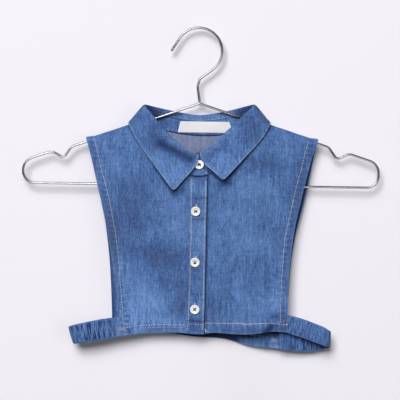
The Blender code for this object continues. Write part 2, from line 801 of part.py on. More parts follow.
def set_button(name, mesh, point, outwards):
    """A button with its back at this point and its face looking outwards."""
    obj = bpy.data.objects.new(name, mesh.copy())
    bpy.context.scene.collection.objects.link(obj)
    upwards = Vector((0, 0, 1))
    sideways = upwards.cross(outwards).normalized()
    frame = Matrix((sideways, outwards.cross(sideways), outwards)).transposed().to_4x4()
    obj.matrix_world = Matrix.Translation(Vector(point) * MM) @ frame
    return obj


def build_buttons():
    mesh = button_mesh()
    angle = -180.0 - math.degrees(math.asin((STAND_BUTTON.x - MIDDLE_X) / FOLD_HALF_WIDTH))
    low = Vector(stand_point(np.array([angle]), np.array([0.0]))[0])
    high = Vector(stand_point(np.array([angle]), np.array([1.0]))[0])
    share = (STAND_BUTTON.z - low.z) / (high.z - low.z)
    slope = (high - low).normalized()
    outwards = Vector((1, 0, 0)).cross(slope).normalized()
    outwards = outwards if outwards.y < 0 else -outwards
    point = low.lerp(high, share) + outwards * 2 * SEAM_GAP
    set_button("button_1", mesh, point, outwards)
    for number, spot in enumerate(BAND_BUTTONS, 2):
        here = np.array([spot.z - 1.0, spot.z, spot.z + 1.0])
        y = front_y(np.full(3, spot.x), here)
        outwards = Vector((0, -2.0, float(y[2] - y[0]))).normalized()
        point = Vector((spot.x, float(y[1]), spot.z))
        point = point + outwards * (PLACKET_WALL + 2 * SEAM_GAP)
        set_button(f"button_{number}", mesh, point, outwards)


def build():
    clear_scene()
    build_hanger()
    right_front = front_grid(RIGHT_FRONT)
    sheet("front_right", right_front, CLOTH_WALL, CHAMBRAY, hem_mask(right_front, False))
    left_front = front_grid(LEFT_FRONT)
    left_hem = hem_mask(left_front, False)
    sheet("front_left", left_front[:, ::-1], CLOTH_WALL, CHAMBRAY, left_hem[:, ::-1])
    back = back_grid()[:, ::-1]
    sheet("back", back, CLOTH_WALL, CHAMBRAY, hem_mask(back, True))
    band = moved_out(right_front, SEAM_GAP + PLACKET_WALL)[:, -BAND_COLUMNS - 1:]
    sheet("placket", band, PLACKET_WALL, BAND_CHAMBRAY)
    sheet("collar_stand", stand_grid(), STAND_WALL, CHAMBRAY)
    sheet("collar_leaf", leaf_grid()[:, ::-1], LEAF_WALL, CHAMBRAY)
    label = moved_out(label_grid(), STAND_WALL + SEAM_GAP + LABEL_WALL)
    sheet("label", label, LABEL_WALL, LABEL_WHITE)
    sheet("strap_right", strap_grid(RIGHT_STRAP), STRAP_WALL, ELASTIC, centred=True)
    sheet("strap_left", strap_grid(LEFT_STRAP), STRAP_WALL, ELASTIC, centred=True)
    build_buttons()


build()
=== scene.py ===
import math
import random
from collections import namedtuple

import bmesh
import bpy
import numpy as np
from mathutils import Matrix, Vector
from mathutils.kdtree import KDTree


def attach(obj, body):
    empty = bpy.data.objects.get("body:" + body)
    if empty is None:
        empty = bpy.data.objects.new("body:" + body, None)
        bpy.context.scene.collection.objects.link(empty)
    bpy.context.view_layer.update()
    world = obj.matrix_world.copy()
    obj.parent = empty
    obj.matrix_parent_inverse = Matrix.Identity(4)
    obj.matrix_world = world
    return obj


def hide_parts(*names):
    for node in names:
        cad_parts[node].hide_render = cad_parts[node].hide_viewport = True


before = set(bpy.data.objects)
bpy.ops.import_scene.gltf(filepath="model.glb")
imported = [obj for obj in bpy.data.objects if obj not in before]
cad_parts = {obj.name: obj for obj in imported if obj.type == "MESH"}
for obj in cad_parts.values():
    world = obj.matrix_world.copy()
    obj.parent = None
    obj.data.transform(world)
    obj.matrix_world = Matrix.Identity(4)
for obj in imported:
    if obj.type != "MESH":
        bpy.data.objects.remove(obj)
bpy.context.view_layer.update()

# ----------------------------------------
# The hanger's frame: one bright plated steel wire, 2.9 mm thick, bent in a jig and butt welded in
# the middle of its bottom bar. Each arm slopes down to a notch, a lobe and a round end, and the
# wearer's left arm has been bent up a little.

WIRE_RADIUS = 0.00145
WIRE_SIDES = 20
HANGER_MIDDLE = 0.0042
STEEL = (0.30, 0.30, 0.32)


def table(kind, *rows):
    """Rows of one kind, their lengths written in millimetres and kept in metres."""
    no_length = ("strength", "share", "lean")
    return [
        kind(*(v if field in no_length else v / 1000 for field, v in zip(kind._fields, row)))
        for row in rows
    ]


# Where the wire would turn a sharp corner, and the radius that it is bent to instead.
Bend = namedtuple("Bend", "x z radius")
FRAME_APEX = Bend(0.0016, -0.0856, 0.0040)
FRAME_RIGHT = table(Bend,
    (149, -137.2, 12), (158, -150.3, 5), (171.5, -142.8, 12), (204.4, -154, 15),
    (204.4, -179.6, 13.5),
)
FRAME_LEFT = table(Bend,
    (146.5, -133.8, 10), (156.2, -148, 5), (170, -140.9, 10), (204.4, -152.2, 15),
    (204.4, -179.6, 13.5),
)


def only(piece):
    """The piece alone is selected and active."""
    bpy.ops.object.select_all(action="DESELECT")
    piece.select_set(True)
    bpy.context.view_layer.objects.active = piece


def ring_of_wire(name, place, heading):
    """A ring of edges across the wire, in edit mode, ready to be extruded along it."""
    bpy.ops.object.select_all(action="DESELECT")
    turn = Vector((0, 0, 1)).rotation_difference(heading).to_euler()
    bpy.ops.mesh.primitive_circle_add(
        vertices=WIRE_SIDES, radius=WIRE_RADIUS, location=place, rotation=turn
    )
    piece = bpy.context.object
    piece.name = name
    bpy.ops.object.transform_apply(location=True, rotation=True, scale=True)
    bpy.ops.object.mode_set(mode="EDIT")
    bpy.ops.mesh.select_all(action="SELECT")
    return piece


def draw_wire(place, heading, bends, last):
    """Extrudes the selected ring through each bend, straight between them, to the last place."""
    spots = [Vector((bend.x, 0, bend.z)) for bend in bends] + [last]
    for bend, here, after in zip(bends, spots, spots[1:]):
        on = (after - here).normalized()
        turn = heading.angle(on)
        reach = bend.radius * math.tan(turn / 2)
        start = here - heading * reach
        bpy.ops.mesh.extrude_region_move(TRANSFORM_OT_translate={"value": start - place})
        axis = heading.cross(on).normalized()
        middle = start + axis.cross(heading) * bend.radius
        steps = max(3, math.ceil(math.degrees(turn) / 7))
        bpy.ops.mesh.spin(steps=steps, angle=-turn, center=middle, axis=axis)
        place = here + on * reach
        heading = on
    bpy.ops.mesh.extrude_region_move(TRANSFORM_OT_translate={"value": last - place})


def end_of_edit(merge=1e-6):
    """Joins doubled points, turns the faces outwards and leaves edit mode."""
    bpy.ops.mesh.select_all(action="SELECT")
    bpy.ops.mesh.remove_doubles(threshold=merge)
    bpy.ops.mesh.normals_make_consistent(inside=False)
    bpy.ops.object.mode_set(mode="OBJECT")


def stands_for(piece, node):
    """The piece takes its node's place on the frame, and the node is hidden."""
    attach(piece, "root")
    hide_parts(node)


def shader_of(name, colour, roughness, **others):
    """A new material with its principled shader set to plain values."""
    material = bpy.data.materials.new(name)
    material.use_nodes = True
    shader = material.node_tree.nodes["Principled BSDF"]
    for socket, value in {"Base_Color": (*colour, 1), "Roughness": roughness, **others}.items():
        shader.inputs[socket.replace("_", " ")].default_value = value
    return material, shader


def feed(material, socket, value):
    """Sets a socket to a number or a colour, or links another node's output to it."""
    if isinstance(value, bpy.types.NodeSocket):
        material.node_tree.links.new(value, socket)
    else:
        socket.default_value = (*value, 1) if socket.type == "RGBA" else value


def add(material, kind, **inputs):
    """A node of this kind, each input one of its settings or what one of its sockets is fed."""
    node = material.node_tree.nodes.new(kind)
    for name, value in inputs.items():
        if hasattr(node, name):
            setattr(node, name, value)
            continue
        wanted = name.replace("_", " ").lower()
        socket = next(s for s in node.inputs if s.name.lower() == wanted and s.enabled)
        feed(material, socket, value)
    return node


def stretched(material, scale):
    """Object coordinates, scaled by a number of repeats in each metre."""
    place = add(material, "ShaderNodeTexCoord").outputs["Object"]
    return add(material, "ShaderNodeMapping", Vector=place, Scale=scale).outputs[0]


def noise_of(material, scale, detail=2.0, roughness=0.5):
    """Cloudy noise with this many clouds in each metre along X, Y and Z."""
    vector = stretched(material, scale)
    noise = add(
        material, "ShaderNodeTexNoise", Vector=vector, Scale=1.0, Detail=detail, Roughness=roughness
    )
    return noise.outputs[0]


def ranged(material, value, low, high, to_low, to_high):
    """The value, carried from one range to another and held inside it."""
    node = add(material, "ShaderNodeMapRange", Value=value, From_Min=low, From_Max=high,
               To_Min=to_low, To_Max=to_high)
    return node.outputs[0]


def bumped(material, shader, height, strength, distance):
    """Fine relief on the surface, up to this distance deep."""
    bump = add(material, "ShaderNodeBump", Strength=strength, Distance=distance, Height=height)
    feed(material, shader.inputs["Normal"], bump.outputs[0])


def steel_of_wire():
    """Bright nickel over drawn wire: fine scratches and a few duller handled patches."""
    material, shader = shader_of("plated_wire", STEEL, 0.2, Metallic=1.0)
    dull = noise_of(material, (60, 60, 60), 3.0)
    scratches = noise_of(material, (1500, 1500, 1500), 2.0)
    feed(material, shader.inputs["Roughness"], ranged(material, dull, 0.3, 0.7, 0.16, 0.28))
    bumped(material, shader, scratches, 0.15, 0.00005)
    return material


plated_wire = steel_of_wire()
right_half = [Bend(HANGER_MIDDLE - b.x, b.z, b.radius) for b in reversed(FRAME_RIGHT)]
left_half = [Bend(HANGER_MIDDLE + b.x, b.z, b.radius) for b in FRAME_LEFT]
bar_middle = Vector((HANGER_MIDDLE, 0, FRAME_LEFT[-1].z))
hanger_frame = ring_of_wire("hanger_frame_wire", bar_middle, Vector((-1, 0, 0)))
draw_wire(bar_middle, Vector((-1, 0, 0)), [*right_half, FRAME_APEX, *left_half], bar_middle)
end_of_edit(1e-5)
bpy.ops.object.shade_smooth()
hanger_frame.data.materials.append(plated_wire)
stands_for(hanger_frame, "hanger_frame")

# ----------------------------------------
# The hook: the same wire, rolled to a ring that stays open at the wearer's right, then bent twice
# and run straight down to the frame's apex, where it is welded on. Its free end is rounded off.

HOOK_RADIUS = 0.0266
HOOK_FROM_ANGLE = math.radians(148.0)
HOOK_TO_ANGLE = math.radians(-52.0)
HOOK_LEAD = 0.0175
HOOK_STEPS = 56
HOOK_END_BEVEL = 0.0007
STEM_BENDS = (Bend(0.0012, -0.0576, 0.0050), Bend(-0.0010, -0.0660, 0.0090))
STEM_END = Vector((0.0016, 0, -0.08405))

hook_middle = Vector((0, 0, WIRE_RADIUS - HOOK_RADIUS))
out_first = Vector((math.cos(HOOK_FROM_ANGLE), 0, math.sin(HOOK_FROM_ANGLE)))
out_last = Vector((math.cos(HOOK_TO_ANGLE), 0, math.sin(HOOK_TO_ANGLE)))
rolls_towards = Vector((out_first.z, 0, -out_first.x))
arc_first = hook_middle + out_first * HOOK_RADIUS
arc_last = hook_middle + out_last * HOOK_RADIUS
lead_end = arc_first - rolls_towards * HOOK_LEAD
hook = ring_of_wire("hanger_hook_wire", lead_end, rolls_towards)
bpy.ops.mesh.extrude_region_move(TRANSFORM_OT_translate={"value": arc_first - lead_end})
bpy.ops.mesh.spin(
    steps=HOOK_STEPS, angle=HOOK_TO_ANGLE - HOOK_FROM_ANGLE, center=hook_middle, axis=(0, 1, 0)
)
draw_wire(arc_last, Vector((out_last.z, 0, -out_last.x)), STEM_BENDS, STEM_END)
bpy.ops.mesh.select_all(action="SELECT")
bpy.ops.mesh.fill_holes(sides=0)
end_of_edit()
rounded_end = hook.modifiers.new("rounded_end", "BEVEL")
rounded_end.width = HOOK_END_BEVEL
rounded_end.segments = 3
rounded_end.limit_method = "ANGLE"
rounded_end.angle_limit = math.radians(60)
bpy.ops.object.modifier_apply(modifier="rounded_end")
bpy.ops.object.shade_smooth()
hook.data.materials.append(plated_wire)
stands_for(hook, "hanger_hook")

# ----------------------------------------
# The right front: one ply of washed cotton chambray, indigo warp over white weft, cut straight on
# the grain. Its side and bottom are turned in twice and topstitched in ecru.

CLOTH_WALL = 0.0005
HEM_WALL = 0.0011
SIDE_HEM = 0.0090
SIDE_HEM_TOP = -0.136
SIDE_HEM_DARKER = 0.35
SIDE_HEM_DARKER_STEP = 0.0015
BOTTOM_HEM = 0.0112
BOTTOM_HEM_BELOW = -0.3446
HEM_RISE = 0.00035
TURNING_SPARE = 0.0006
TURNING_STEP = 0.0008
# The rim belongs to the side's hem where it is further out than this, and further at the corner.
SIDE_BEYOND = 0.0800
CORNER_LEVEL = -0.3452
RIGHT_CORNER_BEYOND = 0.0880
INSET_WIDTH = 0.034
# The stitches pull a groove along the hem's inner edge, and the cloth puckers and ropes beside it.
STITCH_ROW_IN = 0.0008
SEAM_GROOVE = 0.0003
SEAM_GROOVE_WIDTH = 0.0007
ROPING_DYE = 0.22
ROPING_WEAR = 0.3
# How much of the fold is worn, how far in, and how much of that comes and goes with the puckers.
HEM_FOLD_WORN = (0.55, 0.0009, 0.25)
PUCKER_LENGTH = 0.0062
PUCKER_DEPTH = 0.00022
PUCKER_REACH = 0.0038
PUCKER_WANDER = 0.03
RIPPLE_DEPTH = 0.00012
RIPPLE_PITCH = 0.022
THREAD_RADIUS = 0.00034
BARTACK_THREAD_RADIUS = 0.00022
STITCH_PITCH = 0.0028
STITCH_LENGTH = 0.0019
STITCH_ASIDE = 0.00012
STITCH_SIDES = 6
# A bartack's stitches lean by these shares of their pitch, and reach out by these shares of its
# half width.
BARTACK_LEAN = (0.2, 0.6)
BARTACK_REACH = (0.8, 1.1)
# The deep navy that painted shade goes to.
PAINTED_SHADE_NAVY = (0.009, 0.023, 0.088)
INDIGO = (0.011, 0.043, 0.170)
WASHED = (0.149, 0.290, 0.612)
FLECK = (0.270, 0.390, 0.600)
REVERSE_BLUE = (0.110, 0.140, 0.265)
REVERSE_PALE = (0.314, 0.350, 0.501)
MUTED = (0.066, 0.090, 0.190)
ECRU = (0.66, 0.62, 0.63)
FADED_BLUE = (0.36, 0.40, 0.54)
THREAD_PITCH = 0.00048
CLOUD_WEIGHT = 0.33
DYE_CURVE = 1.35
# How much the dye of a front or the back varies by itself, and over what distance.
PANEL_UNEVEN = (0.25, 0.05)

# A crease runs from one place to the other, seen from the front; depth is out of the cloth.
Crease = namedtuple("Crease", "x z to_x to_z width depth")
# A cloud is a soft patch painted darker, below 0, or paler, above 0: uneven tone, and in places
# painted shade or a painted highlight, as noted at their tables.
Cloud = namedtuple("Cloud", "x z across up strength")
# A dark line is painted shade: under an edge, down in a seam or in a fold.
Dark = namedtuple("Dark", "x z to_x to_z width share")

RIGHT_FRONT_CREASES = table(Crease,
    (-62, -150, -70, -335, 12, 0.9), (-40, -190, -50, -300, 8, -0.7),
    (-88, -180, -80, -300, 10, -0.6), (-30, -205, -22, -330, 7, 0.6),
    (-104, -140, -94, -230, 7, 0.5), (-12, -236, -60, -262, 7, -0.6),
    (-12, -292, -52, -318, 6, -0.5), (-92, -338, -70, -322, 3, 0.8),
    (-84, -350, -56, -340, 3, -0.7), (-96, -326, -89, -333, 1.3, 0.8),
    (-95, -330, -88, -336, 1.2, -0.7), (-86, -329, -77, -325, 1.3, 0.8),
    (-86, -333, -78, -331, 1.1, -0.8), (-85, -336, -76, -335, 1.2, 0.8),
    (-80, -342, -70, -347, 1.3, 0.8), (-77, -342, -67, -345, 1.2, -0.8),
)
RIGHT_FRONT_CLOUDS = table(Cloud,
    (-40, -264, 26, 18, -0.8), (-18, -300, 20, 30, -0.6), (-74, -320, 26, 24, 0.75),
    (-30, -215, 22, 28, 0.4), (-90, -162, 24, 18, -0.25), (-76, -219, 30, 30, -0.75),
    (-102, -233, 10, 24, -0.85), (-47, -200, 9, 16, -0.35), (-45, -335, 34, 6, 0.55),
    (-55, -255, 12, 8, -0.4), (-19, -237, 14, 16, 0.75), (-45, -317, 20, 14, 0.65),
    (-61, -292, 20, 12, 0.3), (-17, -320, 8, 10, -0.3),
)
# Painted shadow of the collar leaf on the fronts, band and stand: along its edge from the right
# shoulder to its two points and the left shoulder, wider below the points.
UNDER_COLLAR = table(Dark,
    (-79.5, -111.4, -26.8, -189.3, 2.6, 0.85), (-26.3, -188.5, 1.9, -155, 4.2, 0.85),
    (1.9, -155, 29.3, -176.5, 2.1, 0.85), (29.3, -176.5, 85, -109, 3, 0.75),
    (-25.5, -190.5, -17.5, -185, 4.4, 0.6), (26, -178.5, 37, -176.5, 4.8, 0.6),
)
# The bottom corner is puckered by the bartack that holds the strap; these lines paint shade into
# its puckers.
RIGHT_CORNER = table(Dark,
    (-82, -331, -77.5, -330.8, 1, 0.6), (-87.3, -334, -85, -333.3, 1, 0.6),
    (-81.2, -336.6, -77, -337.2, 1, 0.6), (-83.5, -341.8, -79, -342.4, 1, 0.55),
    (-77.8, -345.8, -73.4, -350, 1.4, 0.7),
)
# How far the right front's side lies inside the back's, so that the back shows beside it.
Inset = namedtuple("Inset", "z reach")
RIGHT_SIDE_INSETS = table(Inset,
    (-340, 0), (-333, 3.6), (-322, 4.4), (-305, 2.8), (-280, 1.6), (-240, 1.2), (-205, 0),
)
# A corner of a seam's route over a piece.
Corner = namedtuple("Corner", "x z")
RIGHT_SIDE_SEAM = table(Corner,
    (-119.5, -127), (-115.7, -139.4), (-110.4, -160.7), (-105.5, -178.1), (-101.7, -191.2),
    (-97.8, -208.7), (-93.9, -228.9), (-90.7, -249.5), (-88.5, -266.7), (-85.7, -301),
    (-83.3, -320.5), (-82, -342.2),
)
RIGHT_HEM_SEAM = table(Corner,
    (-81.2, -343.8), (-72, -342.6), (-62.9, -341.1), (-40, -339.9), (-12.5, -339.7),
)
RIGHT_HEM_SECOND = table(Corner,
    (-62.8, -344.1), (-40, -342.8), (-12.5, -342.4),
)


def placed(name, mesh):
    """A new object in the scene."""
    piece = bpy.data.objects.new(name, mesh)
    bpy.context.scene.collection.objects.link(piece)
    return piece


def opened(piece):
    """The piece alone, in edit mode and selected all over."""
    only(piece)
    bpy.ops.object.mode_set(mode="EDIT")
    bpy.ops.mesh.select_all(action="SELECT")


def copied(name, node, merge):
    """A copy of a node's solid, in edit mode, its loose triangles joined."""
    piece = placed(name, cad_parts[node].data.copy())
    piece.data.materials.clear()
    opened(piece)
    bpy.ops.mesh.remove_doubles(threshold=merge)
    return piece


def cloth_of(name, node, way, levels=3, corners="PRESERVE_CORNERS"):
    """The outer face of a node's cloth wall, the one that faces this way, refined to fine quads."""
    piece = copied(name, node, 1e-5)
    bpy.ops.mesh.tris_convert_to_quads(
        face_threshold=math.radians(40), shape_threshold=math.radians(60)
    )
    shape = bmesh.from_edit_mesh(piece.data)
    way = Vector(way)
    first = max(shape.faces, key=lambda f: f.normal.dot(way) + 0.2 * f.calc_area() * 1e4)
    outer = {first}
    queue = [first]
    while queue:
        for edge in queue.pop().edges:
            if not edge.is_manifold or edge.calc_face_angle() > math.radians(50):
                continue
            for face in edge.link_faces:
                if face not in outer:
                    outer.add(face)
                    queue.append(face)
    for face in shape.faces:
        face.select = face not in outer
    bmesh.update_edit_mesh(piece.data)
    bpy.ops.mesh.delete(type="FACE")
    bpy.ops.object.mode_set(mode="OBJECT")
    finer = piece.modifiers.new("finer", "SUBSURF")
    finer.levels = levels
    finer.render_levels = levels
    finer.boundary_smooth = corners
    bpy.ops.object.modifier_apply(modifier="finer")
    return piece


def points_of(piece):
    """The piece's points, one row of x, y and z for each."""
    points = np.empty(len(piece.data.vertices) * 3)
    piece.data.vertices.foreach_get("co", points)
    return points.reshape(-1, 3)


def normals_of(piece):
    normals = np.empty(len(piece.data.vertices) * 3)
    piece.data.vertex_normals.foreach_get("vector", normals)
    return normals.reshape(-1, 3)


def put(piece, points):
    piece.data.vertices.foreach_set("co", points.ravel())
    piece.data.update()


def moved(piece, out):
    """Moves each point along its normal."""
    put(piece, points_of(piece) + normals_of(piece) * out[:, None])


def rim_of(piece):
    """The points on the open edge of a piece."""
    count = {}
    for face in piece.data.polygons:
        for key in face.edge_keys:
            count[key] = count.get(key, 0) + 1
    rim = sorted({i for key, faces in count.items() if faces == 1 for i in key})
    return points_of(piece)[rim]


def distance_to(points, others):
    """How far each point is from the nearest of the others."""
    tree = KDTree(len(others))
    for i, other in enumerate(others):
        tree.insert(other, i)
    tree.balance()
    return np.array([tree.find(point)[2] for point in points])


def soft(value, low, high):
    """0 at low, 1 at high, and a soft step between."""
    t = np.clip((value - low) / (high - low), 0, 1)
    return t * t * (3 - 2 * t)


def hump(value, middle, width):
    """1 at the middle, and falling softly to 0 at both sides of it."""
    return np.exp(-(((value - middle) / width) ** 2))


def beside(points, line):
    """How far along a line, 0 to 1, and how far from it each point is, seen from the front."""
    flat = points[:, [0, 2]]
    start = np.array((line.x, line.z))
    run = np.array((line.to_x, line.to_z)) - start
    t = np.clip((flat - start) @ run / (run @ run), 0, 1)
    return t, np.linalg.norm(flat - start - t[:, None] * run, axis=1)


def creased(points, creases):
    """How far out the creases move each point."""
    out = np.zeros(len(points))
    for crease in creases:
        t, away = beside(points, crease)
        ends = soft(t, 0, 0.3) * soft(1 - t, 0, 0.3)
        out += crease.depth * ends * hump(away, 0, crease.width)
    return out


def darkened(points, lines):
    """The share of painted shade at each point, from the dark lines."""
    out = np.zeros(len(points))
    for line in lines:
        away = beside(points, line)[1]
        out = np.maximum(out, line.share * hump(away, 0, line.width))
    return out


def clouded(points, clouds, seed, share=0.3, pitch=0.03):
    """How much paler each point is, or darker below 0: its clouds and some unevenness all over."""
    out = share * uneven(points, pitch, seed)
    for cloud in clouds:
        across = hump(points[:, 0], cloud.x, cloud.across)
        out += cloud.strength * across * hump(points[:, 2], cloud.z, cloud.up)
    return out


def uneven(points, pitch, seed):
    """A smooth random number from -1 to 1 at each point, changing over this pitch."""
    rng = random.Random(seed)
    out = np.zeros(len(points))
    for _ in range(7):
        way = np.array([rng.uniform(-1, 1) for _ in range(3)])
        out += np.sin(points @ way * (2 * math.pi / pitch) + rng.uniform(0, 6.3))
    return np.clip(out / 4, -1, 1)


def puckers(points, along, seed, twist=2.5):
    """A wave of puckers along a seam, from -1 to 1, and how it wanders."""
    wander = uneven(points, PUCKER_WANDER, seed)
    return np.sin(2 * math.pi * along / PUCKER_LENGTH + twist * wander), wander


def worn_edge(edge, wave, near, share, reach, swing):
    """How worn a turned edge is: this share at its fold, over this reach, more or less by its wave,
    and a little on the crests near its stitches."""
    fold = share * np.exp(-edge / reach) * (1 - swing + swing * wave)
    return np.clip(fold + ROPING_WEAR * near * soft(wave, 0, 1), 0, 1)


def hemmed(points, edge, hem, along, seed):
    """How far out a turned and topstitched hem stands, how worn it is, and its clouds of dye. edge
    is the distance from the fold, and along the length on the way of the hem, for its puckers."""
    wave, wander = puckers(points, along, seed)
    near = hump(edge, hem - 1.5 * STITCH_ROW_IN, PUCKER_REACH)
    rise = HEM_RISE * soft(hem + 0.5 * STITCH_ROW_IN - edge, 0, STITCH_ROW_IN)
    groove = -SEAM_GROOVE * hump(edge, hem - STITCH_ROW_IN, SEAM_GROOVE_WIDTH)
    pucker = PUCKER_DEPTH * wave * near * (1 + 0.6 * wander)
    worn = worn_edge(edge, wave, near, *HEM_FOLD_WORN)
    return rise + groove + pucker, worn, ROPING_DYE * near * (wave - 0.5)


def painted(piece, name, values):
    """Keeps a value at each point, for the cloth's material to read."""
    layer = piece.data.attributes.new(name, "FLOAT", "POINT")
    layer.data.foreach_set("value", np.ascontiguousarray(values, np.float32))


def with_hems(piece, at_side, at_hem, seed):
    """Wears both hems of a front or back. It gives the distance from each fold, how far out the
    cloth stands, and its clouds of dye."""
    points = points_of(piece)
    from_side = distance_to(points, at_side)
    from_hem = distance_to(points, at_hem)
    side_out, side_worn, side_dye = hemmed(points, from_side, SIDE_HEM, points[:, 2], seed)
    hem_out, hem_worn, hem_dye = hemmed(points, from_hem, BOTTOM_HEM, points[:, 0], seed + 1)
    painted(piece, "worn", np.clip(side_worn + hem_worn, 0, 1))
    return from_side, from_hem, np.maximum(side_out, hem_out), side_dye + hem_dye


def turned_in(from_side, from_hem, turning):
    """The share of the full wall at each point: all of it where a hem is folded, else one ply."""
    single = CLOTH_WALL / HEM_WALL
    at_side = soft(SIDE_HEM + TURNING_SPARE - from_side, 0, TURNING_STEP)
    return single + (1 - single) * np.maximum(at_side, soft(turning - from_hem, 0, TURNING_STEP))


def walled(piece, wall, faces, thick=None):
    """Gives the cloth its thickness, inwards, and a material to its face and its reverse. thick is
    the share of the wall at each point: where it is 1 a turned hem shows the face inside too."""
    for material in faces:
        piece.data.materials.append(material)
    only(piece)
    solid = piece.modifiers.new("wall", "SOLIDIFY")
    solid.thickness = wall
    solid.offset = -1.0
    solid.material_offset = 1
    if thick is not None:
        group = piece.vertex_groups.new(name="thick")
        for i, share in enumerate(thick):
            group.add([i], float(share), "REPLACE")
        solid.vertex_group = group.name
    bpy.ops.object.modifier_apply(modifier="wall")
    bpy.ops.object.shade_smooth_by_angle(angle=math.radians(50))
    if thick is not None:
        twice = np.concatenate([thick, thick])
        for face in piece.data.polygons:
            if twice[list(face.vertices)].mean() > 0.9:
                face.material_index = 0


def maths(material, operation, *values, use_clamp=False):
    """What this operation makes of numbers or of other nodes' outputs."""
    node = add(material, "ShaderNodeMath", operation=operation, use_clamp=use_clamp)
    for socket, value in zip(node.inputs, values):
        feed(material, socket, value)
    return node.outputs[0]


def mixed(material, share, here, there):
    """A colour that goes from the one here to the one there, as the share goes from 0 to 1."""
    node = add(material, "ShaderNodeMix", data_type="RGBA")
    for place, value in ((0, share), (6, here), (7, there)):
        feed(material, node.inputs[place], value)
    return node.outputs[2]


def chambray(name, deep, washed):
    """Plain weave with slubs in warp and weft, clouds of dye, pale worn edges and painted shade."""
    material, shader = shader_of(
        name, washed, 0.86, Sheen_Weight=0.12, Sheen_Roughness=0.45, Specular_IOR_Level=0.18
    )
    clouds, worn, painted_shade = (
        add(material, "ShaderNodeAttribute", attribute_name=layer).outputs["Fac"]
        for layer in ("clouds", "worn", "painted_shade")
    )
    warp_fine = noise_of(material, (1050, 1050, 150), 2.0, 0.6)
    warp_slub = noise_of(material, (430, 430, 28), 3.0, 0.6)
    weft_slub = noise_of(material, (60, 60, 900), 2.0, 0.5)
    grain = noise_of(material, (1000, 1000, 800), 2.0, 0.6)
    mottle = noise_of(material, (90, 90, 60), 4.0, 0.65)
    dye = maths(material, "MULTIPLY", clouds, CLOUD_WEIGHT)
    for part, strength in ((grain, 1.0), (warp_fine, 1.1), (warp_slub, 0.85),
                           (weft_slub, 0.35), (mottle, 0.5)):
        centred = ranged(material, part, 0.0, 1.0, -0.5 * strength, 0.5 * strength)
        dye = maths(material, "ADD", dye, centred)
    share = ranged(material, dye, -0.5, 0.5, 0.0, 1.0)
    # The curve keeps the grain as strong to the eye where the dye is pale as where it is dark.
    blue = mixed(material, maths(material, "POWER", share, DYE_CURVE), deep, washed)
    # A darker patch is greyer too, where the cloth has been rubbed.
    rubbed = mixed(material, ranged(material, clouds, -1.1, -0.2, 0.35, 0.0), blue, MUTED)
    # Where a weft thread crosses over, it shows pale.
    threads = stretched(material, (math.pi / THREAD_PITCH,) * 3)
    split = add(material, "ShaderNodeSeparateXYZ", Vector=threads)
    warp, weft = (maths(material, "SINE", split.outputs[axis]) for axis in ("X", "Z"))
    cross = maths(material, "MULTIPLY", warp, weft)
    fleck = ranged(material, cross, -0.1, 0.9, 0.0, 0.20)
    wear = maths(material, "MULTIPLY", worn, ranged(material, warp_slub, 0.25, 0.75, 0.25, 0.75))
    pale = maths(material, "ADD", fleck, wear, use_clamp=True)
    cloth = mixed(material, pale, rubbed, FLECK)
    # Painted shade: where the painted_shade attribute is high, the colour goes to deep navy.
    feed(material, shader.inputs["Base Color"], mixed(material, painted_shade, cloth, PAINTED_SHADE_NAVY))
    bumped(material, shader, maths(material, "ADD", warp_fine, cross), 0.35, 0.00012)
    return material


def tinted(material, shader, noise, colour, darkest):
    """The shader's colour, down to this share of it in the noise's dark places."""
    dark = tuple(darkest * c for c in colour)
    share = ranged(material, noise, 0.3, 0.7, 0.0, 1.0)
    feed(material, shader.inputs["Base Color"], mixed(material, share, dark, colour))


def cotton_thread(name, colour):
    """Spun cotton thread: two plies, matt, a little darker in places."""
    material, shader = shader_of(name, colour, 0.8)
    tinted(material, shader, noise_of(material, (900, 900, 900)), colour, 0.72)
    return material


def tube(base, rings, count):
    """The faces between rings of this many points, which follow one another from the base on."""
    faces = []
    for first in range(base, base + (rings - 1) * count, count):
        for k in range(count):
            on = (k + 1) % count
            faces.append((first + k, first + on, first + count + on, first + count + k))
    return faces


def made_of(name, points, faces):
    """A new piece of these points and faces."""
    mesh = bpy.data.meshes.new(name)
    mesh.from_pydata([tuple(point) for point in points], [], faces)
    return placed(name, mesh)


def sewn(name, stitches, radius, material, lift=0.4):
    """Thread as one mesh. A stitch is a start, an end and the way out of the cloth; it arches out
    by lift times its radius and dips in at both ends."""
    points = []
    faces = []
    sides = STITCH_SIDES
    # How far along the stitch, how thick and how high out the thread is there.
    stations = ((0.0, 0.35, -0.5), (0.14, 0.9, 0.25), (0.5, 1.0, lift), (0.86, 0.9, 0.25),
                (1.0, 0.35, -0.5))
    for start, end, out in stitches:
        along = (end - start).normalized()
        side = along.cross(out).normalized()
        up = side.cross(along)
        base = len(points)
        for t, share, height in stations:
            middle = start.lerp(end, t) + up * height * radius
            for k in range(sides):
                turn = 2 * math.pi * k / sides
                way = side * math.cos(turn) + up * math.sin(turn)
                points.append(middle + way * share * radius)
        faces += tube(base, len(stations), sides)
        faces.append(tuple(reversed(range(base, base + sides))))
        faces.append(tuple(range(len(points) - sides, len(points))))
    piece = made_of(name, points, faces)
    opened(piece)
    bpy.ops.mesh.normals_make_consistent(inside=False)
    bpy.ops.object.mode_set(mode="OBJECT")
    bpy.ops.object.shade_smooth()
    piece.data.materials.append(material)
    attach(piece, "root")
    return piece


def lengths_along(corners):
    """How far along a path each of its corners lies."""
    return np.append(0, np.cumsum(np.linalg.norm(np.diff(corners, axis=0), axis=1)))


def spaced(route, pitch):
    """Places this far apart along a route of (x, z) corners."""
    corners = np.array(route, float)
    at = lengths_along(corners)
    places = np.arange(0, at[-1], pitch)
    return np.stack([np.interp(places, at, corners[:, axis]) for axis in range(2)], axis=1)


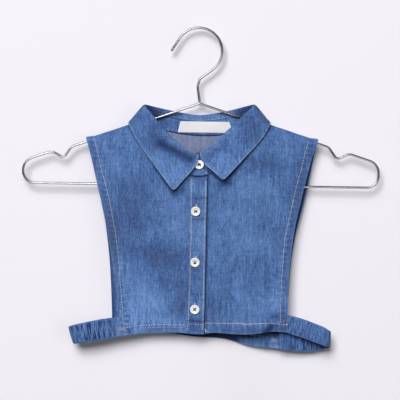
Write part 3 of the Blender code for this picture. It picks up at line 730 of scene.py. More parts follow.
def laid_on(shell, starts, ends, way):
    """Stitches between (x, z) spots that are carried along Y onto a piece, where both meet it."""
    found = []
    for start, end in zip(starts, ends):
        hits = []
        for x, z in (start, end):
            hits.append(shell.ray_cast(Vector((x, -0.2 * way, z)), Vector((0, way, 0))))
        (first, here, out, _), (second, there, _, _) = hits
        if first and second:
            found.append((here, there, out))
    return found


def topstitches(shell, route, way=1, *, length=STITCH_LENGTH, seed):
    """Stitches along a route on a piece, as uneven as a machine on soft cloth leaves them."""
    rng = random.Random(seed)
    spots = spaced(route, STITCH_PITCH)
    ways = np.gradient(spots, axis=0)
    ways /= np.linalg.norm(ways, axis=1)[:, None]
    starts = []
    ends = []
    for spot, on in zip(spots, ways):
        aside = np.array((-on[1], on[0])) * rng.uniform(-STITCH_ASIDE, STITCH_ASIDE)
        starts.append(spot + aside)
        ends.append(spot + aside + on * length * rng.uniform(0.9, 1.08))
    return laid_on(shell, starts, ends, way)


def bartack(shell, start, end, half_width, count, seed):
    """A close zigzag of thread along a line from start to end, both (x, z)."""
    rng = random.Random(seed)
    start = np.array(start)
    run = np.array(end) - start
    aside = np.array((-run[1], run[0])) / np.linalg.norm(run) * half_width
    starts = []
    ends = []
    for i in range(count):
        middle = start + run * (i + 0.5) / count
        lean = run / count * rng.uniform(*BARTACK_LEAN)
        starts.append(middle - aside * rng.uniform(*BARTACK_REACH) - lean)
        ends.append(middle + aside * rng.uniform(*BARTACK_REACH) + lean)
    return laid_on(shell, starts, ends, 1)


chambray_face = chambray("chambray_face", INDIGO, WASHED)
chambray_reverse = chambray("chambray_reverse", REVERSE_BLUE, REVERSE_PALE)
ecru_thread = cotton_thread("ecru_thread", ECRU)
faded_thread = cotton_thread("faded_thread", FADED_BLUE)


def front_of(name, node, side, corner_beyond, creases, clouds, darks, seed, insets=()):
    """A front: the node's cloth, refined, hemmed, creased, dyed and painted with shade. side is -1
    on the right.
    """
    piece = cloth_of(name, node, (0, -1, 0))
    points = points_of(piece)
    rim = rim_of(piece)
    beyond = np.where(rim[:, 2] < CORNER_LEVEL, corner_beyond, SIDE_BEYOND)
    at_side = rim[(rim[:, 0] * side > beyond) & (rim[:, 2] < SIDE_HEM_TOP)]
    at_hem = rim[rim[:, 2] < BOTTOM_HEM_BELOW]
    from_side, from_hem, out, dye = with_hems(piece, at_side, at_hem, seed)
    dye -= SIDE_HEM_DARKER * soft(SIDE_HEM - from_side, 0, SIDE_HEM_DARKER_STEP)
    painted(piece, "clouds", dye + clouded(points, clouds, seed + 3, *PANEL_UNEVEN))
    painted(piece, "painted_shade", darkened(points, darks))
    ripple = RIPPLE_DEPTH * uneven(points, RIPPLE_PITCH, seed + 2)
    moved(piece, out + creased(points, creases) + ripple)
    if insets:
        points = points_of(piece)
        reach = np.interp(points[:, 2], [row.z for row in insets], [row.reach for row in insets])
        points[:, 0] -= side * reach * soft(INSET_WIDTH - from_side, 0, INSET_WIDTH)
        put(piece, points)
    thick = turned_in(from_side, from_hem, BOTTOM_HEM + TURNING_SPARE)
    walled(piece, HEM_WALL, (chambray_face, chambray_reverse), thick)
    stands_for(piece, node)
    return piece


right_front = front_of(
    "right_front_cloth", "front_right", -1, RIGHT_CORNER_BEYOND, RIGHT_FRONT_CREASES,
    RIGHT_FRONT_CLOUDS, (*UNDER_COLLAR, *RIGHT_CORNER), 11, RIGHT_SIDE_INSETS
)
right_seams = sewn("right_front_stitches", [
    *topstitches(right_front, RIGHT_SIDE_SEAM, seed=21),
    *topstitches(right_front, RIGHT_HEM_SEAM, seed=22),
    *topstitches(right_front, RIGHT_HEM_SECOND, length=0.0012, seed=23),
], THREAD_RADIUS, ecru_thread)
right_bartack = sewn("right_front_bartack", [
    *bartack(right_front, (-0.0885, -0.3445), (-0.0775, -0.3480), 0.0022, 13, seed=24),
    *bartack(right_front, (-0.0885, -0.3480), (-0.0800, -0.3450), 0.0016, 8, seed=25),
], BARTACK_THREAD_RADIUS, faded_thread)

# ----------------------------------------
# The left front: the same cloth and hems. Its inner edge runs under the right front's band, where
# the buttons are sewn to it.

LEFT_CORNER_BEYOND = 0.1030
HEM_THREAD_RADIUS = 0.00048
LEFT_FRONT_CREASES = table(Crease,
    (60, -165, 66, -330, 12, 0.8), (30, -200, 40, -325, 9, 0.7), (82, -170, 80, -320, 9, -0.6),
    (46, -185, 50, -260, 7, -0.6), (110, -140, 98, -230, 7, 0.5), (18, -262, 62, -276, 7, -0.5),
    (20, -312, 66, -322, 6, -0.5), (98, -330, 72, -312, 4, 0.8), (88, -340, 60, -331, 4, -0.6),
    (86, -331, 98.5, -327, 1.4, -0.8), (80, -347, 89, -338, 2.8, -1.4),
)
# The two dark clouds just below the collar leaf's edge, at z -152 and -160, are painted shadow of
# the leaf.
LEFT_FRONT_CLOUDS = table(Cloud,
    (22, -285, 18, 22, -0.1), (80, -290, 14, 20, -0.2), (50, -240, 34, 26, 0.45),
    (64, -212, 8, 30, 0.35), (106, -208, 10, 14, -0.45), (95, -300, 10, 16, 0.45),
    (50, -272, 14, 10, -0.4), (92, -152, 30, 12, -0.4), (50, -160, 30, 10, -0.4),
    (63, -176, 20, 16, 0.4), (119, -180, 10, 36, -0.6), (88, -190, 20, 40, 0.1),
    (50, -300, 12, 16, 0.5), (72, -318, 16, 14, 0.7), (20, -320, 14, 12, -0.7),
    (97, -330, 12, 10, -0.6), (70, -346, 36, 6, -1),
)
# Painted shadow beside the band's edge, and painted shade in the folds at the bottom corner.
LEFT_FRONT_DARKS = table(Dark,
    (12, -170, 11, -347, 1.7, 0.8), (88, -330, 96.5, -328, 1.4, 0.6),
    (80.5, -347.8, 88.2, -340.5, 3.4, 0.95), (87, -340, 98.5, -340, 1.2, 0.3),
)
LEFT_SIDE_SEAM = table(Corner,
    (127, -127), (122.7, -144), (117.9, -164.6), (113.5, -181), (110.2, -197.2), (106.3, -215.6),
    (101.5, -238.5), (100, -262.7), (98.6, -283.2), (98, -313.9), (98, -334.5),
)
LEFT_HEM_SEAM = table(Corner,
    (105.7, -337.9), (88.2, -336.6), (79, -336.9), (60.7, -337.9), (50, -337.2), (31, -337.2),
    (11.5, -337.6),
)

left_front = front_of(
    "left_front_cloth", "front_left", 1, LEFT_CORNER_BEYOND, LEFT_FRONT_CREASES,
    LEFT_FRONT_CLOUDS, (*UNDER_COLLAR, *LEFT_FRONT_DARKS), 31
)
left_seams = sewn("left_front_stitches", [
    *topstitches(left_front, LEFT_SIDE_SEAM, seed=41),
    *topstitches(left_front, LEFT_HEM_SEAM[:3], seed=42),
    *topstitches(left_front, LEFT_HEM_SEAM[4:], length=0.0024, seed=46),
    *bartack(left_front, (0.1045, -0.3372), (0.1066, -0.3386), 0.0010, 4, seed=43),
    *bartack(left_front, (0.0110, -0.3440), (0.0134, -0.3478), 0.0010, 5, seed=44),
], THREAD_RADIUS, ecru_thread)
left_hem_thread = sewn("left_front_hem_thread", topstitches(
    left_front, LEFT_HEM_SEAM[2:5], length=0.0028, seed=45
), HEM_THREAD_RADIUS, ecru_thread)

# ----------------------------------------
# The back: one width of the same cloth, hemmed at both sides and along the bottom. The fronts hide
# it but for slivers at the armholes, the hem and the neck, where its paler reverse shows.

BACK_MIDDLE = 0.004
BACK_SIDE_BEYOND = 0.086
BACK_HEM_BELOW = -0.3486
BACK_TURNING = 0.0175
BACK_CREASES = table(Crease,
    (-60, -150, -66, -330, 13, 1), (-20, -160, -26, -320, 10, -0.8), (24, -150, 20, -310, 12, 0.9),
    (64, -160, 70, -335, 11, -0.8), (-90, -180, -84, -300, 9, 0.6), (98, -180, 92, -320, 9, 0.6),
    (100, -345, 70, -330, 5, -0.7),
)
BACK_CLOUDS = table(Cloud,
    (-50, -240, 30, 40, -0.55), (40, -280, 36, 30, 0.5), (70, -200, 30, 30, -0.35),
    (-60, -320, 30, 20, 0.45),
)
# Painted shadow on the back where the fronts' sides and hem lie over it, and painted shade in the
# gap at the neck.
UNDER_FRONT_HEM = table(Dark,
    (-108, -205, -96.5, -320, 5, 0.8), (-96.5, -320, -95, -340, 5, 0.8),
    (133.5, -138, 115, -225, 4.5, 0.75), (115, -225, 108.5, -248, 3.5, 0.75),
    (-40, -351, 18, -353, 6, 0.95), (18, -353, 47, -356, 6, 0.95),
    (47, -351, 64, -351.5, 4.5, 0.95), (70, -348, 108, -347, 6.4, 0.9),
    (81, -350, 83, -364, 1.6, 0.6), (1, -144, 1.4, -154, 3.2, 0.95),
)
BACK_RIGHT_SEAM = table(Corner,
    (-119.5, -127), (-112, -155), (-105.5, -180), (-99, -208), (-93.5, -240),
    (-90, -270), (-87.6, -301), (-86, -342),
)
BACK_LEFT_SEAM = table(Corner,
    (129, -128), (123, -155), (118, -180), (112, -208), (104.5, -240),
    (100.5, -270), (98, -301), (95.5, -357),
)
BACK_HEM_SEAM = table(Corner,
    (-86, -341.5), (-60, -339.3), (-35, -339.7), (-12, -342), (18, -344.2), (40, -346.4),
    (60, -352.7), (76, -354.8), (95.5, -355.7),
)

back = cloth_of("back_cloth", "back", (0, 1, 0))
back_points = points_of(back)
back_rim = rim_of(back)
beyond_side = abs(back_rim[:, 0] - BACK_MIDDLE) > BACK_SIDE_BEYOND
at_sides = back_rim[beyond_side & (back_rim[:, 2] < SIDE_HEM_TOP)]
at_hem = back_rim[back_rim[:, 2] < BACK_HEM_BELOW]
from_side, from_hem, hem_out, hem_dye = with_hems(back, at_sides, at_hem, 51)
painted(back, "clouds", hem_dye + clouded(back_points, BACK_CLOUDS, 53, *PANEL_UNEVEN))
back_darks = darkened(back_points, UNDER_FRONT_HEM)
painted(back, "painted_shade", back_darks)
moved(back, hem_out + creased(back_points, BACK_CREASES))
walled(back, HEM_WALL, (chambray_face, chambray_reverse),
       turned_in(from_side, from_hem, BACK_TURNING))
# The painted shadow goes only on the face towards the fronts. Its points come after those of the
# outer face.
both_faces = np.concatenate([0 * back_darks, back_darks])
both_faces = np.resize(both_faces, len(back.data.vertices)).astype(np.float32)
back.data.attributes["painted_shade"].data.foreach_set("value", both_faces)
stands_for(back, "back")
back_seams = sewn("back_stitches", [
    *topstitches(back, BACK_RIGHT_SEAM, -1, seed=54),
    *topstitches(back, BACK_LEFT_SEAM, -1, seed=55),
    *topstitches(back, BACK_HEM_SEAM, -1, seed=56),
    *topstitches(back, ((0.0640, -0.3515), (0.0790, -0.3527)), length=0.0012, seed=57),
    *bartack(back, (0.0880, -0.3652), (0.0886, -0.3668), 0.0006, 2, seed=58),
    *bartack(back, (0.0960, -0.3640), (0.0966, -0.3654), 0.0006, 2, seed=59),
], THREAD_RADIUS, ecru_thread)
back_bartack = sewn("back_bartack", [
    *bartack(back, (0.0890, -0.3550), (0.0945, -0.3590), 0.0020, 10, seed=60),
    *bartack(back, (0.0890, -0.3590), (0.0940, -0.3555), 0.0014, 6, seed=61),
], BARTACK_THREAD_RADIUS, faded_thread)

# ----------------------------------------
# The button band: a straight strip of the same cloth, interlined, folded to 20 mm and stitched on
# along both edges. Each button pulls a shallow pleat across it.

BAND_WALL = 0.0008
BAND_STITCH_IN = 0.0015
BAND_GROOVE = 0.00025
GROOVE_WIDTH = 0.0006
BAND_FOLD_WORN = (0.9, 0.0007, 0.2)
BAND_PUCKER_IN = 0.0020
BAND_PUCKER_REACH = 0.0022
BAND_PUCKER_DEPTH = 0.00015
BAND_SIDES = (-0.345, -0.176)
RIM_ROW = 0.002
BAND_CREASES = table(Crease,
    (-9, -195, 12, -193.8, 2, -0.6), (-9, -221.5, 12, -223, 2.2, -0.4),
    (-10, -256, 10, -254.5, 2.2, -0.4), (-10, -277.5, 10, -280, 2, -0.6),
    (-11, -308, 10, -306.5, 2, -0.5), (-11, -334, 10, -333.5, 1.4, -0.9),
    (-1, -215, 0, -260, 5, 0.5),
)
BAND_CLOUDS = table(Cloud,
    (0, -295, 20, 30, -0.25), (0, -235, 20, 20, 0.6), (0, -185, 20, 12, 0.25),
    (0, -340, 20, 8, -0.4),
)
# Painted shade on the band: at its bottom, under the collar, and in the pleats by the buttons.
BAND_DARKS = table(Dark,
    (-8.5, -334.6, 10.5, -335.6, 1.3, 0.75), (-8, -170, 11, -168.5, 2.2, 0.8),
    (-2, -195.5, 10.5, -194, 1.2, 0.5), (-6, -218.8, 10, -217.8, 1.1, 0.4),
    (-5, -270, 5, -272, 2.2, 0.3), (-6, -325, 6, -326.2, 2.2, 0.3),
)

band = cloth_of("button_band_cloth", "placket", (0, -1, 0), levels=4)
band_points = points_of(band)
band_rim = rim_of(band)
along_sides = band_rim[(band_rim[:, 2] > BAND_SIDES[0]) & (band_rim[:, 2] < BAND_SIDES[1])]
from_side = distance_to(band_points, along_sides)
band_wave, _ = puckers(band_points, band_points[:, 2], 61, 2)
near_seam = hump(from_side, BAND_PUCKER_IN, BAND_PUCKER_REACH)
groove = -BAND_GROOVE * hump(from_side, BAND_STITCH_IN, GROOVE_WIDTH)
painted(band, "worn", worn_edge(from_side, band_wave, near_seam, *BAND_FOLD_WORN))
painted(band, "painted_shade", darkened(band_points, (*UNDER_COLLAR, *BAND_DARKS)))
painted(band, "clouds", clouded(band_points, BAND_CLOUDS, 62))
moved(band, groove + BAND_PUCKER_DEPTH * band_wave * near_seam + creased(band_points, BAND_CREASES))
walled(band, BAND_WALL, (chambray_face, chambray_reverse))
stands_for(band, "placket")


def rim_inset(piece, side, inset, low, high):
    """A seam this far in from the side rim of a piece, as (x, z) corners from low to high."""
    points = points_of(piece)
    rows = np.round(points[:, 2] / RIM_ROW).astype(int)
    rim = []
    for row in np.unique(rows):
        across = points[rows == row]
        rim.append(across[np.argmax(across[:, 0] * side)])
    rim = np.array(sorted(rim, key=lambda point: point[2]))
    levels = np.arange(low, high, 2 * RIM_ROW)
    return np.stack([np.interp(levels, rim[:, 2], rim[:, 0]) - side * inset, levels], axis=1)


band_seams = sewn("button_band_stitches", [
    *topstitches(band, rim_inset(band, -1, BAND_STITCH_IN, -0.3450, -0.1700), seed=63),
    *topstitches(band, rim_inset(band, 1, BAND_STITCH_IN, -0.3450, -0.1740), seed=64),
    *topstitches(band, ((-0.0080, -0.3382), (0.0090, -0.3391)), length=0.0014, seed=65),
    *bartack(band, (0.0000, -0.2012), (0.0002, -0.2110), 0.0007, 16, seed=66),
    *bartack(band, (0.0000, -0.2600), (-0.0002, -0.2700), 0.0007, 16, seed=67),
    *bartack(band, (-0.0004, -0.3140), (-0.0006, -0.3240), 0.0007, 16, seed=68),
], THREAD_RADIUS, ecru_thread)

# ----------------------------------------
# The collar stand: two plies with interlining between, 30 mm high at the back, sewn round the
# neckline. It closes at the front under the top button.

STAND_WALL = 0.0012
STAND_FRONT = -0.015
STAND_FRONT_STEP = 0.004
STAND_SEAM_LEVEL = -0.118
STAND_SEAM_WIDTH = 0.0014
STAND_SEAM_SHADE = 0.75
STAND_STITCH_IN = 0.0016
STAND_GROOVE = 0.0002
STAND_WORN_IN = 0.0026
STAND_WORN_WIDTH = 0.0007
STAND_WORN = 0.25
# The stand is a ring of about this radius round a middle that lies a little towards the front.
STAND_RING = 0.060
STAND_RING_FORWARD = 0.008
STAND_CLOUDS = table(Cloud,
    (-40, -110, 30, 12, -0.3), (50, -105, 30, 12, 0.3),
)
# Painted shade inside the neck, on the stand just under the leaf's roll.
UNDER_ROLL = table(Dark,
    (-64, -86, -48, -100, 8.5, 0.9), (52, -99, 64, -87, 7.5, 0.75),
)

stand = cloth_of("collar_stand_cloth", "collar_stand", (0, 1, 0))
stand_points = points_of(stand)
stand_rim = rim_of(stand)
from_rim = distance_to(stand_points, stand_rim)
from_seam = distance_to(stand_points, stand_rim[stand_rim[:, 2] < STAND_SEAM_LEVEL])
stand_turn = np.arctan2(stand_points[:, 1] + STAND_RING_FORWARD, stand_points[:, 0])
stand_wave, _ = puckers(stand_points, stand_turn * STAND_RING, 71, 2)
# Painted shade: a dark line along the seam to the neckline, the leaf's painted shadow on the
# stand's front, and painted shade under the roll inside.
stand_dark = STAND_SEAM_SHADE * hump(from_seam, 0, STAND_SEAM_WIDTH)
front_share = soft(STAND_FRONT - stand_points[:, 1], 0, STAND_FRONT_STEP)
under_leaf = darkened(stand_points, UNDER_COLLAR) * front_share
under_roll = darkened(stand_points, UNDER_ROLL) * (1 - front_share)
painted(stand, "painted_shade", np.maximum(stand_dark, np.maximum(under_leaf, under_roll)))
stand_worn = STAND_WORN * hump(from_rim, STAND_WORN_IN, STAND_WORN_WIDTH)
painted(stand, "worn", stand_worn * (1 + stand_wave))
painted(stand, "clouds", clouded(stand_points, STAND_CLOUDS, 72))
moved(stand, -STAND_GROOVE * hump(from_rim, STAND_STITCH_IN, GROOVE_WIDTH))
walled(stand, STAND_WALL, (chambray_face, chambray_face))
stands_for(stand, "collar_stand")

# ----------------------------------------
# The collar leaf: two plies and a light interlining, bagged out to clean pointed ends, edge
# stitched, sewn into the stand and pressed over. Its turned edges have faded pale.

LEAF_WALL = 0.0011
LEAF_SEAM_WIDTH = 0.0055
LEAF_SEAM_RISE = 0.00028
LEAF_SEAM_STEP = 0.0012
LEAF_STITCH_IN = 0.0018
LEAF_EDGE_WORN = (1.0, 0.0010, 0.15)
LEAF_PUCKER_REACH = 0.0025
LEAF_PUCKER_DEPTH = 0.00014
LEAF_DYE_PITCH = 0.035
LEAF_FRONT = -0.008
LEAF_FRONT_STEP = 0.006
ROLL_INSIDE = 0.005
ROLL_STEP = 0.003
# The small pale clouds in a row just below the fold are a painted highlight on the roll, and the
# dark one at -52, -128 is painted shade in the hollow; the others are uneven tone.
LEAF_CLOUDS = table(Cloud,
    (-52, -128, 16, 18, -0.7), (-42, -150, 12, 12, 0.2), (-26, -170, 10, 10, 0.15),
    (26, -150, 12, 12, 0.3), (-38, -121, 7, 6, 0.8), (-28, -129, 7, 6, 0.8),
    (-18, -138, 7, 6, 0.7), (10, -141, 7, 6, 0.5), (20, -131, 7, 6, 0.5), (60, -105, 20, 18, -0.6),
)
# The leaf dips where it is pressed down towards the button, and LEAF_DARKS paint shade into that
# hollow.
LEAF_CREASES = table(Crease,
    (-52, -126, -6, -152, 6, -1.1), (10, -148, 40, -124, 6, -0.6),
)
LEAF_DARKS = table(Dark,
    (-42, -133, -8, -150, 5.8, 0.85), (8, -150, 32, -132, 4.4, 0.34),
)
# Painted shade inside the roll, at both sides of the neck.
ROLL_DARKS = table(Dark,
    (-61, -88.5, -48, -98.5, 8.5, 0.85), (49, -96.5, 61, -88.5, 7.5, 0.8),
)

leaf = cloth_of("collar_leaf_cloth", "collar_leaf", (0, -1, 0.2), corners="ALL")
leaf_points = points_of(leaf)
from_edge = distance_to(leaf_points, rim_of(leaf))
leaf_wave, _ = puckers(leaf_points, leaf_points[:, 0] + leaf_points[:, 2], 81)
seam_rise = LEAF_SEAM_RISE * soft(LEAF_SEAM_WIDTH - from_edge, 0, LEAF_SEAM_STEP)
seam_groove = -LEAF_SEAM_RISE * hump(from_edge, LEAF_STITCH_IN, GROOVE_WIDTH)
near_edge = hump(from_edge, LEAF_STITCH_IN, LEAF_PUCKER_REACH)
painted(leaf, "worn", worn_edge(from_edge, leaf_wave, near_edge, *LEAF_EDGE_WORN))
painted(leaf, "clouds", clouded(leaf_points, LEAF_CLOUDS, 82, pitch=LEAF_DYE_PITCH))
# Painted shade: in the front hollows, and inside the roll behind them.
in_front = soft(LEAF_FRONT - leaf_points[:, 1], 0, LEAF_FRONT_STEP)
inside_roll = (1 - in_front) * soft(ROLL_INSIDE - leaf_points[:, 1], 0, ROLL_STEP)
painted(leaf, "painted_shade", np.maximum(in_front * darkened(leaf_points, LEAF_DARKS),
                                    inside_roll * darkened(leaf_points, ROLL_DARKS)))
moved(leaf, seam_rise + seam_groove + LEAF_PUCKER_DEPTH * leaf_wave * near_edge
      + in_front * creased(leaf_points, LEAF_CREASES))
walled(leaf, LEAF_WALL, (chambray_face, chambray_face))
stands_for(leaf, "collar_leaf")

# ----------------------------------------
# The label: a bare strip of white satin ribbon, its ends turned under, sewn to the inside of the
# stand at the centre back.

LABEL_WALL = 0.0003
LABEL_WAVE = 0.00025
LABEL_WAVE_PITCH = 0.02
LABEL_EDGE_DIP = 0.0002
LABEL_EDGE_REACH = 0.0006
RIBBON = (0.72, 0.70, 0.73)

label = cloth_of("label_ribbon", "label", (0, -1, 0))
label_points = points_of(label)
edge_dip = LABEL_EDGE_DIP * np.exp(-distance_to(label_points, rim_of(label)) / LABEL_EDGE_REACH)
moved(label, LABEL_WAVE * uneven(label_points, LABEL_WAVE_PITCH, 91) - edge_dip)
ribbon, ribbon_shader = shader_of("satin_ribbon", RIBBON, 0.45, Sheen_Weight=0.3)
ribs = noise_of(ribbon, (40, 40, 2600))
tinted(ribbon, ribbon_shader, ribs, RIBBON, 0.88)
bumped(ribbon, ribbon_shader, ribs, 0.4, 0.0001)
walled(label, LABEL_WALL, (ribbon, ribbon))
stands_for(label, "label")

# ----------------------------------------
# The buttons: four turned white resin ones of 10.8 mm with a rim and four holes, sewn through in a
# cross with blue grey thread.

BUTTON_WHITE = (0.88, 0.87, 0.86)
BUTTON_THREAD = (0.035, 0.042, 0.085)
BUTTON_THREAD_RADIUS = 0.00052
BUTTON_RIM_RISE = 0.0007
BUTTON_HOLE_OUT = 0.00175
# Beside its cross each button has a thread or two more, from hole to hole, and the top button
# three: dark thread across its top and down its sides that stands in for the collar leaf's shadow,
# a painted shadow.
EXTRA_THREADS = (((0, 1), (1, 2), (0, 3)), ((3, 0),), ((2, 3),), ((0, 1),))

button_resin, resin_shader = shader_of(
    "button_resin", BUTTON_WHITE, 0.28, Coat_Weight=0.3, Coat_Roughness=0.15
)
tinted(button_resin, resin_shader, noise_of(button_resin, (260, 260, 260)), BUTTON_WHITE, 0.93)
button_thread = cotton_thread("button_thread", BUTTON_THREAD)
crosses = []
for number, extra in enumerate(EXTRA_THREADS, 1):
    node = f"button_{number}"
    button = copied(node + "_resin", node, 1e-6)
    bpy.ops.mesh.dissolve_limited(angle_limit=math.radians(2))
    bpy.ops.object.mode_set(mode="OBJECT")
    bpy.ops.object.shade_smooth_by_angle(angle=math.radians(40))
    button.data.materials.append(button_resin)
    flat = max(button.data.polygons, key=lambda f: f.area if f.normal.y > 0 else 0)
    out = -flat.normal.copy()
    middle = sum((Vector(c) for c in button.bound_box), Vector()) / 8
    up = (Vector((0, 0, 1)) - out * out.z).normalized()
    side = up.cross(out)
    rim_height = max((v.co - middle).dot(out) for v in button.data.vertices)
    holes = []
    for turn in (45, 135, 225, 315):
        angle = math.radians(turn)
        way = side * math.cos(angle) + up * math.sin(angle)
        holes.append(middle + way * BUTTON_HOLE_OUT + out * (rim_height - BUTTON_RIM_RISE))
    crosses += [(holes[a], holes[b], out) for a, b in ((0, 2), (1, 3), *extra)]
    stands_for(button, node)
sewn("button_thread_crosses", crosses, BUTTON_THREAD_RADIUS, button_thread, 1.0)

# ----------------------------------------
# The straps: a tube of the same cloth drawn up on a flat elastic, which gathers it to about half
# its length. Each loops from a front corner to the back corner behind it and is sewn in flat.

STRAP_HALF_WALL = 0.0009
STRAP_HOLLOW = 0.55
STRAP_EDGE_WALL = 0.0004
STRAP_ROW = 0.00046
STRAP_ACROSS = 18
STRAP_HEADER = 0.80
STRAP_EDGE_ROUND = 7
STRAP_SCALLOP = 0.35
STRAP_SCALLOP_DEPTH = 0.0040
# Each gather's lean and bend across the strap, its width, its height and the step to the next. One
# that fades dies out between these two shares of the way across.
GATHER_LEAN = 0.0016
GATHER_BEND = 0.0014
GATHER_BEND_LEVEL = 0.4
GATHER_WIDTH = (0.0005, 0.0010)
GATHER_HEIGHT = (0.45, 1.0)
GATHER_STEP = (0.0011, 0.0028)
GATHER_FADES = (-0.9, 0.1)
# The height that lies in the strap's own face, and the one that all gathers run out to at its
# edges.
GATHER_LEVEL = 0.35
GATHER_AT_EDGE = 0.6
# Crests above the first height are paler, partly wear and partly a painted highlight, and above the
# second they are worn; valleys below the third get painted shade.
# Each grows this fast with the height.
PALE_FROM = 0.45
PALE_RISE = 1.4
WORN_FROM = 0.68
WORN_RISE = 2.2
SHADE_FROM = 0.30
SHADE_RISE = 3.0
SHADE_MOST = 0.85
STRAP_DARKER = 0.1
# Gathers this deep get their full paleness and wear on the crests and their full painted shade in
# the valleys.
STRAP_FULL_DEPTH = 0.0013

# The middle of a strap from the front to the back, its width, how far that leans in degrees, and
# how deep its gathers are there.
Strap = namedtuple("Strap", "x y z width lean depth")
RIGHT_STRAP = table(Strap,
    (-84, -4.3, -342.4, 21.4, 12, 0.2), (-94.9, -5.2, -344.4, 22.8, 11, 0.7),
    (-105.2, -6.6, -346.2, 23.4, 11, 1), (-116, -7.6, -348.2, 23, 11, 1.3),
    (-129, -7.8, -350.8, 22.4, 13, 1.4), (-138, -6, -352.8, 21.4, 15, 1.2),
    (-142, 0, -353.9, 20.6, 16, 0.8), (-138, 6, -353.3, 21.2, 15, 1.1),
    (-129, 7.8, -351.6, 22.2, 12, 1.2), (-110, 6.2, -348.4, 22.2, 9, 1),
    (-97, 3.6, -345.2, 21.4, 7, 0.5), (-88, 2.9, -343.4, 20.8, 6, 0.2),
)
LEFT_STRAP = table(Strap,
    (99, -4.1, -335.5, 20, -14, 0.2), (108.8, -4.6, -337.9, 20.3, -15, 0.6),
    (117.2, -6.2, -340, 20.6, -17, 0.7), (125.5, -7.6, -342.6, 20.6, -18, 0.6),
    (136, -8.3, -346.3, 20.4, -17, 0.5), (146.5, -7.6, -350.3, 20, -13, 0.5),
    (152.6, -5, -353.4, 19.4, -6, 0.5), (155.3, 0, -354.5, 19.1, -1, 0.5),
    (152.6, 5, -355.8, 19.4, 0, 0.8), (146, 7.6, -357.4, 20, 1, 1.1), (136, 8, -359, 20.6, 1, 1.2),
    (122, 6.6, -359.4, 20.6, 1, 1.1), (107, 3.8, -358, 20.4, 0, 0.6),
    (97, 2.9, -357, 20.2, 0, 0.2),
)


def hermite(keys, values, at):
    """A smooth curve through values at keys, read at these places."""
    keys = np.asarray(keys, float)
    values = np.asarray(values, float)
    slopes = np.gradient(values, keys)
    i = np.clip(np.searchsorted(keys, at, side="right") - 1, 0, len(keys) - 2)
    gap = keys[i + 1] - keys[i]
    t = (at - keys[i]) / gap
    return ((2 * t**3 - 3 * t**2 + 1) * values[i] + (t**3 - 2 * t**2 + t) * gap * slopes[i]
            + (-2 * t**3 + 3 * t**2) * values[i + 1] + (t**3 - t**2) * gap * slopes[i + 1])


def gathers(along, across, face, seed):
    """How far the gathers stand out, 0 in a valley and 1 on a crest: short ridges across the strap,
    each with its own lean, bend, width and height, so that some run into the next."""
    rng = random.Random(seed + 100 * face)
    height = np.zeros_like(along)
    place = 0.0
    while place < along.max():
        lean = rng.uniform(-GATHER_LEAN, GATHER_LEAN)
        bend = rng.uniform(-GATHER_BEND, GATHER_BEND)
        width = rng.uniform(*GATHER_WIDTH)
        top = rng.uniform(*GATHER_HEIGHT)
        fades = rng.choice((-1, 0, 0, 1))
        middle = place + lean * across + bend * (across**2 - GATHER_BEND_LEVEL)
        reach = 1.0 if fades == 0 else soft(fades * across, *GATHER_FADES)
        height = np.maximum(height, top * reach * hump(along, middle, width))
        place += rng.uniform(*GATHER_STEP)
    return height


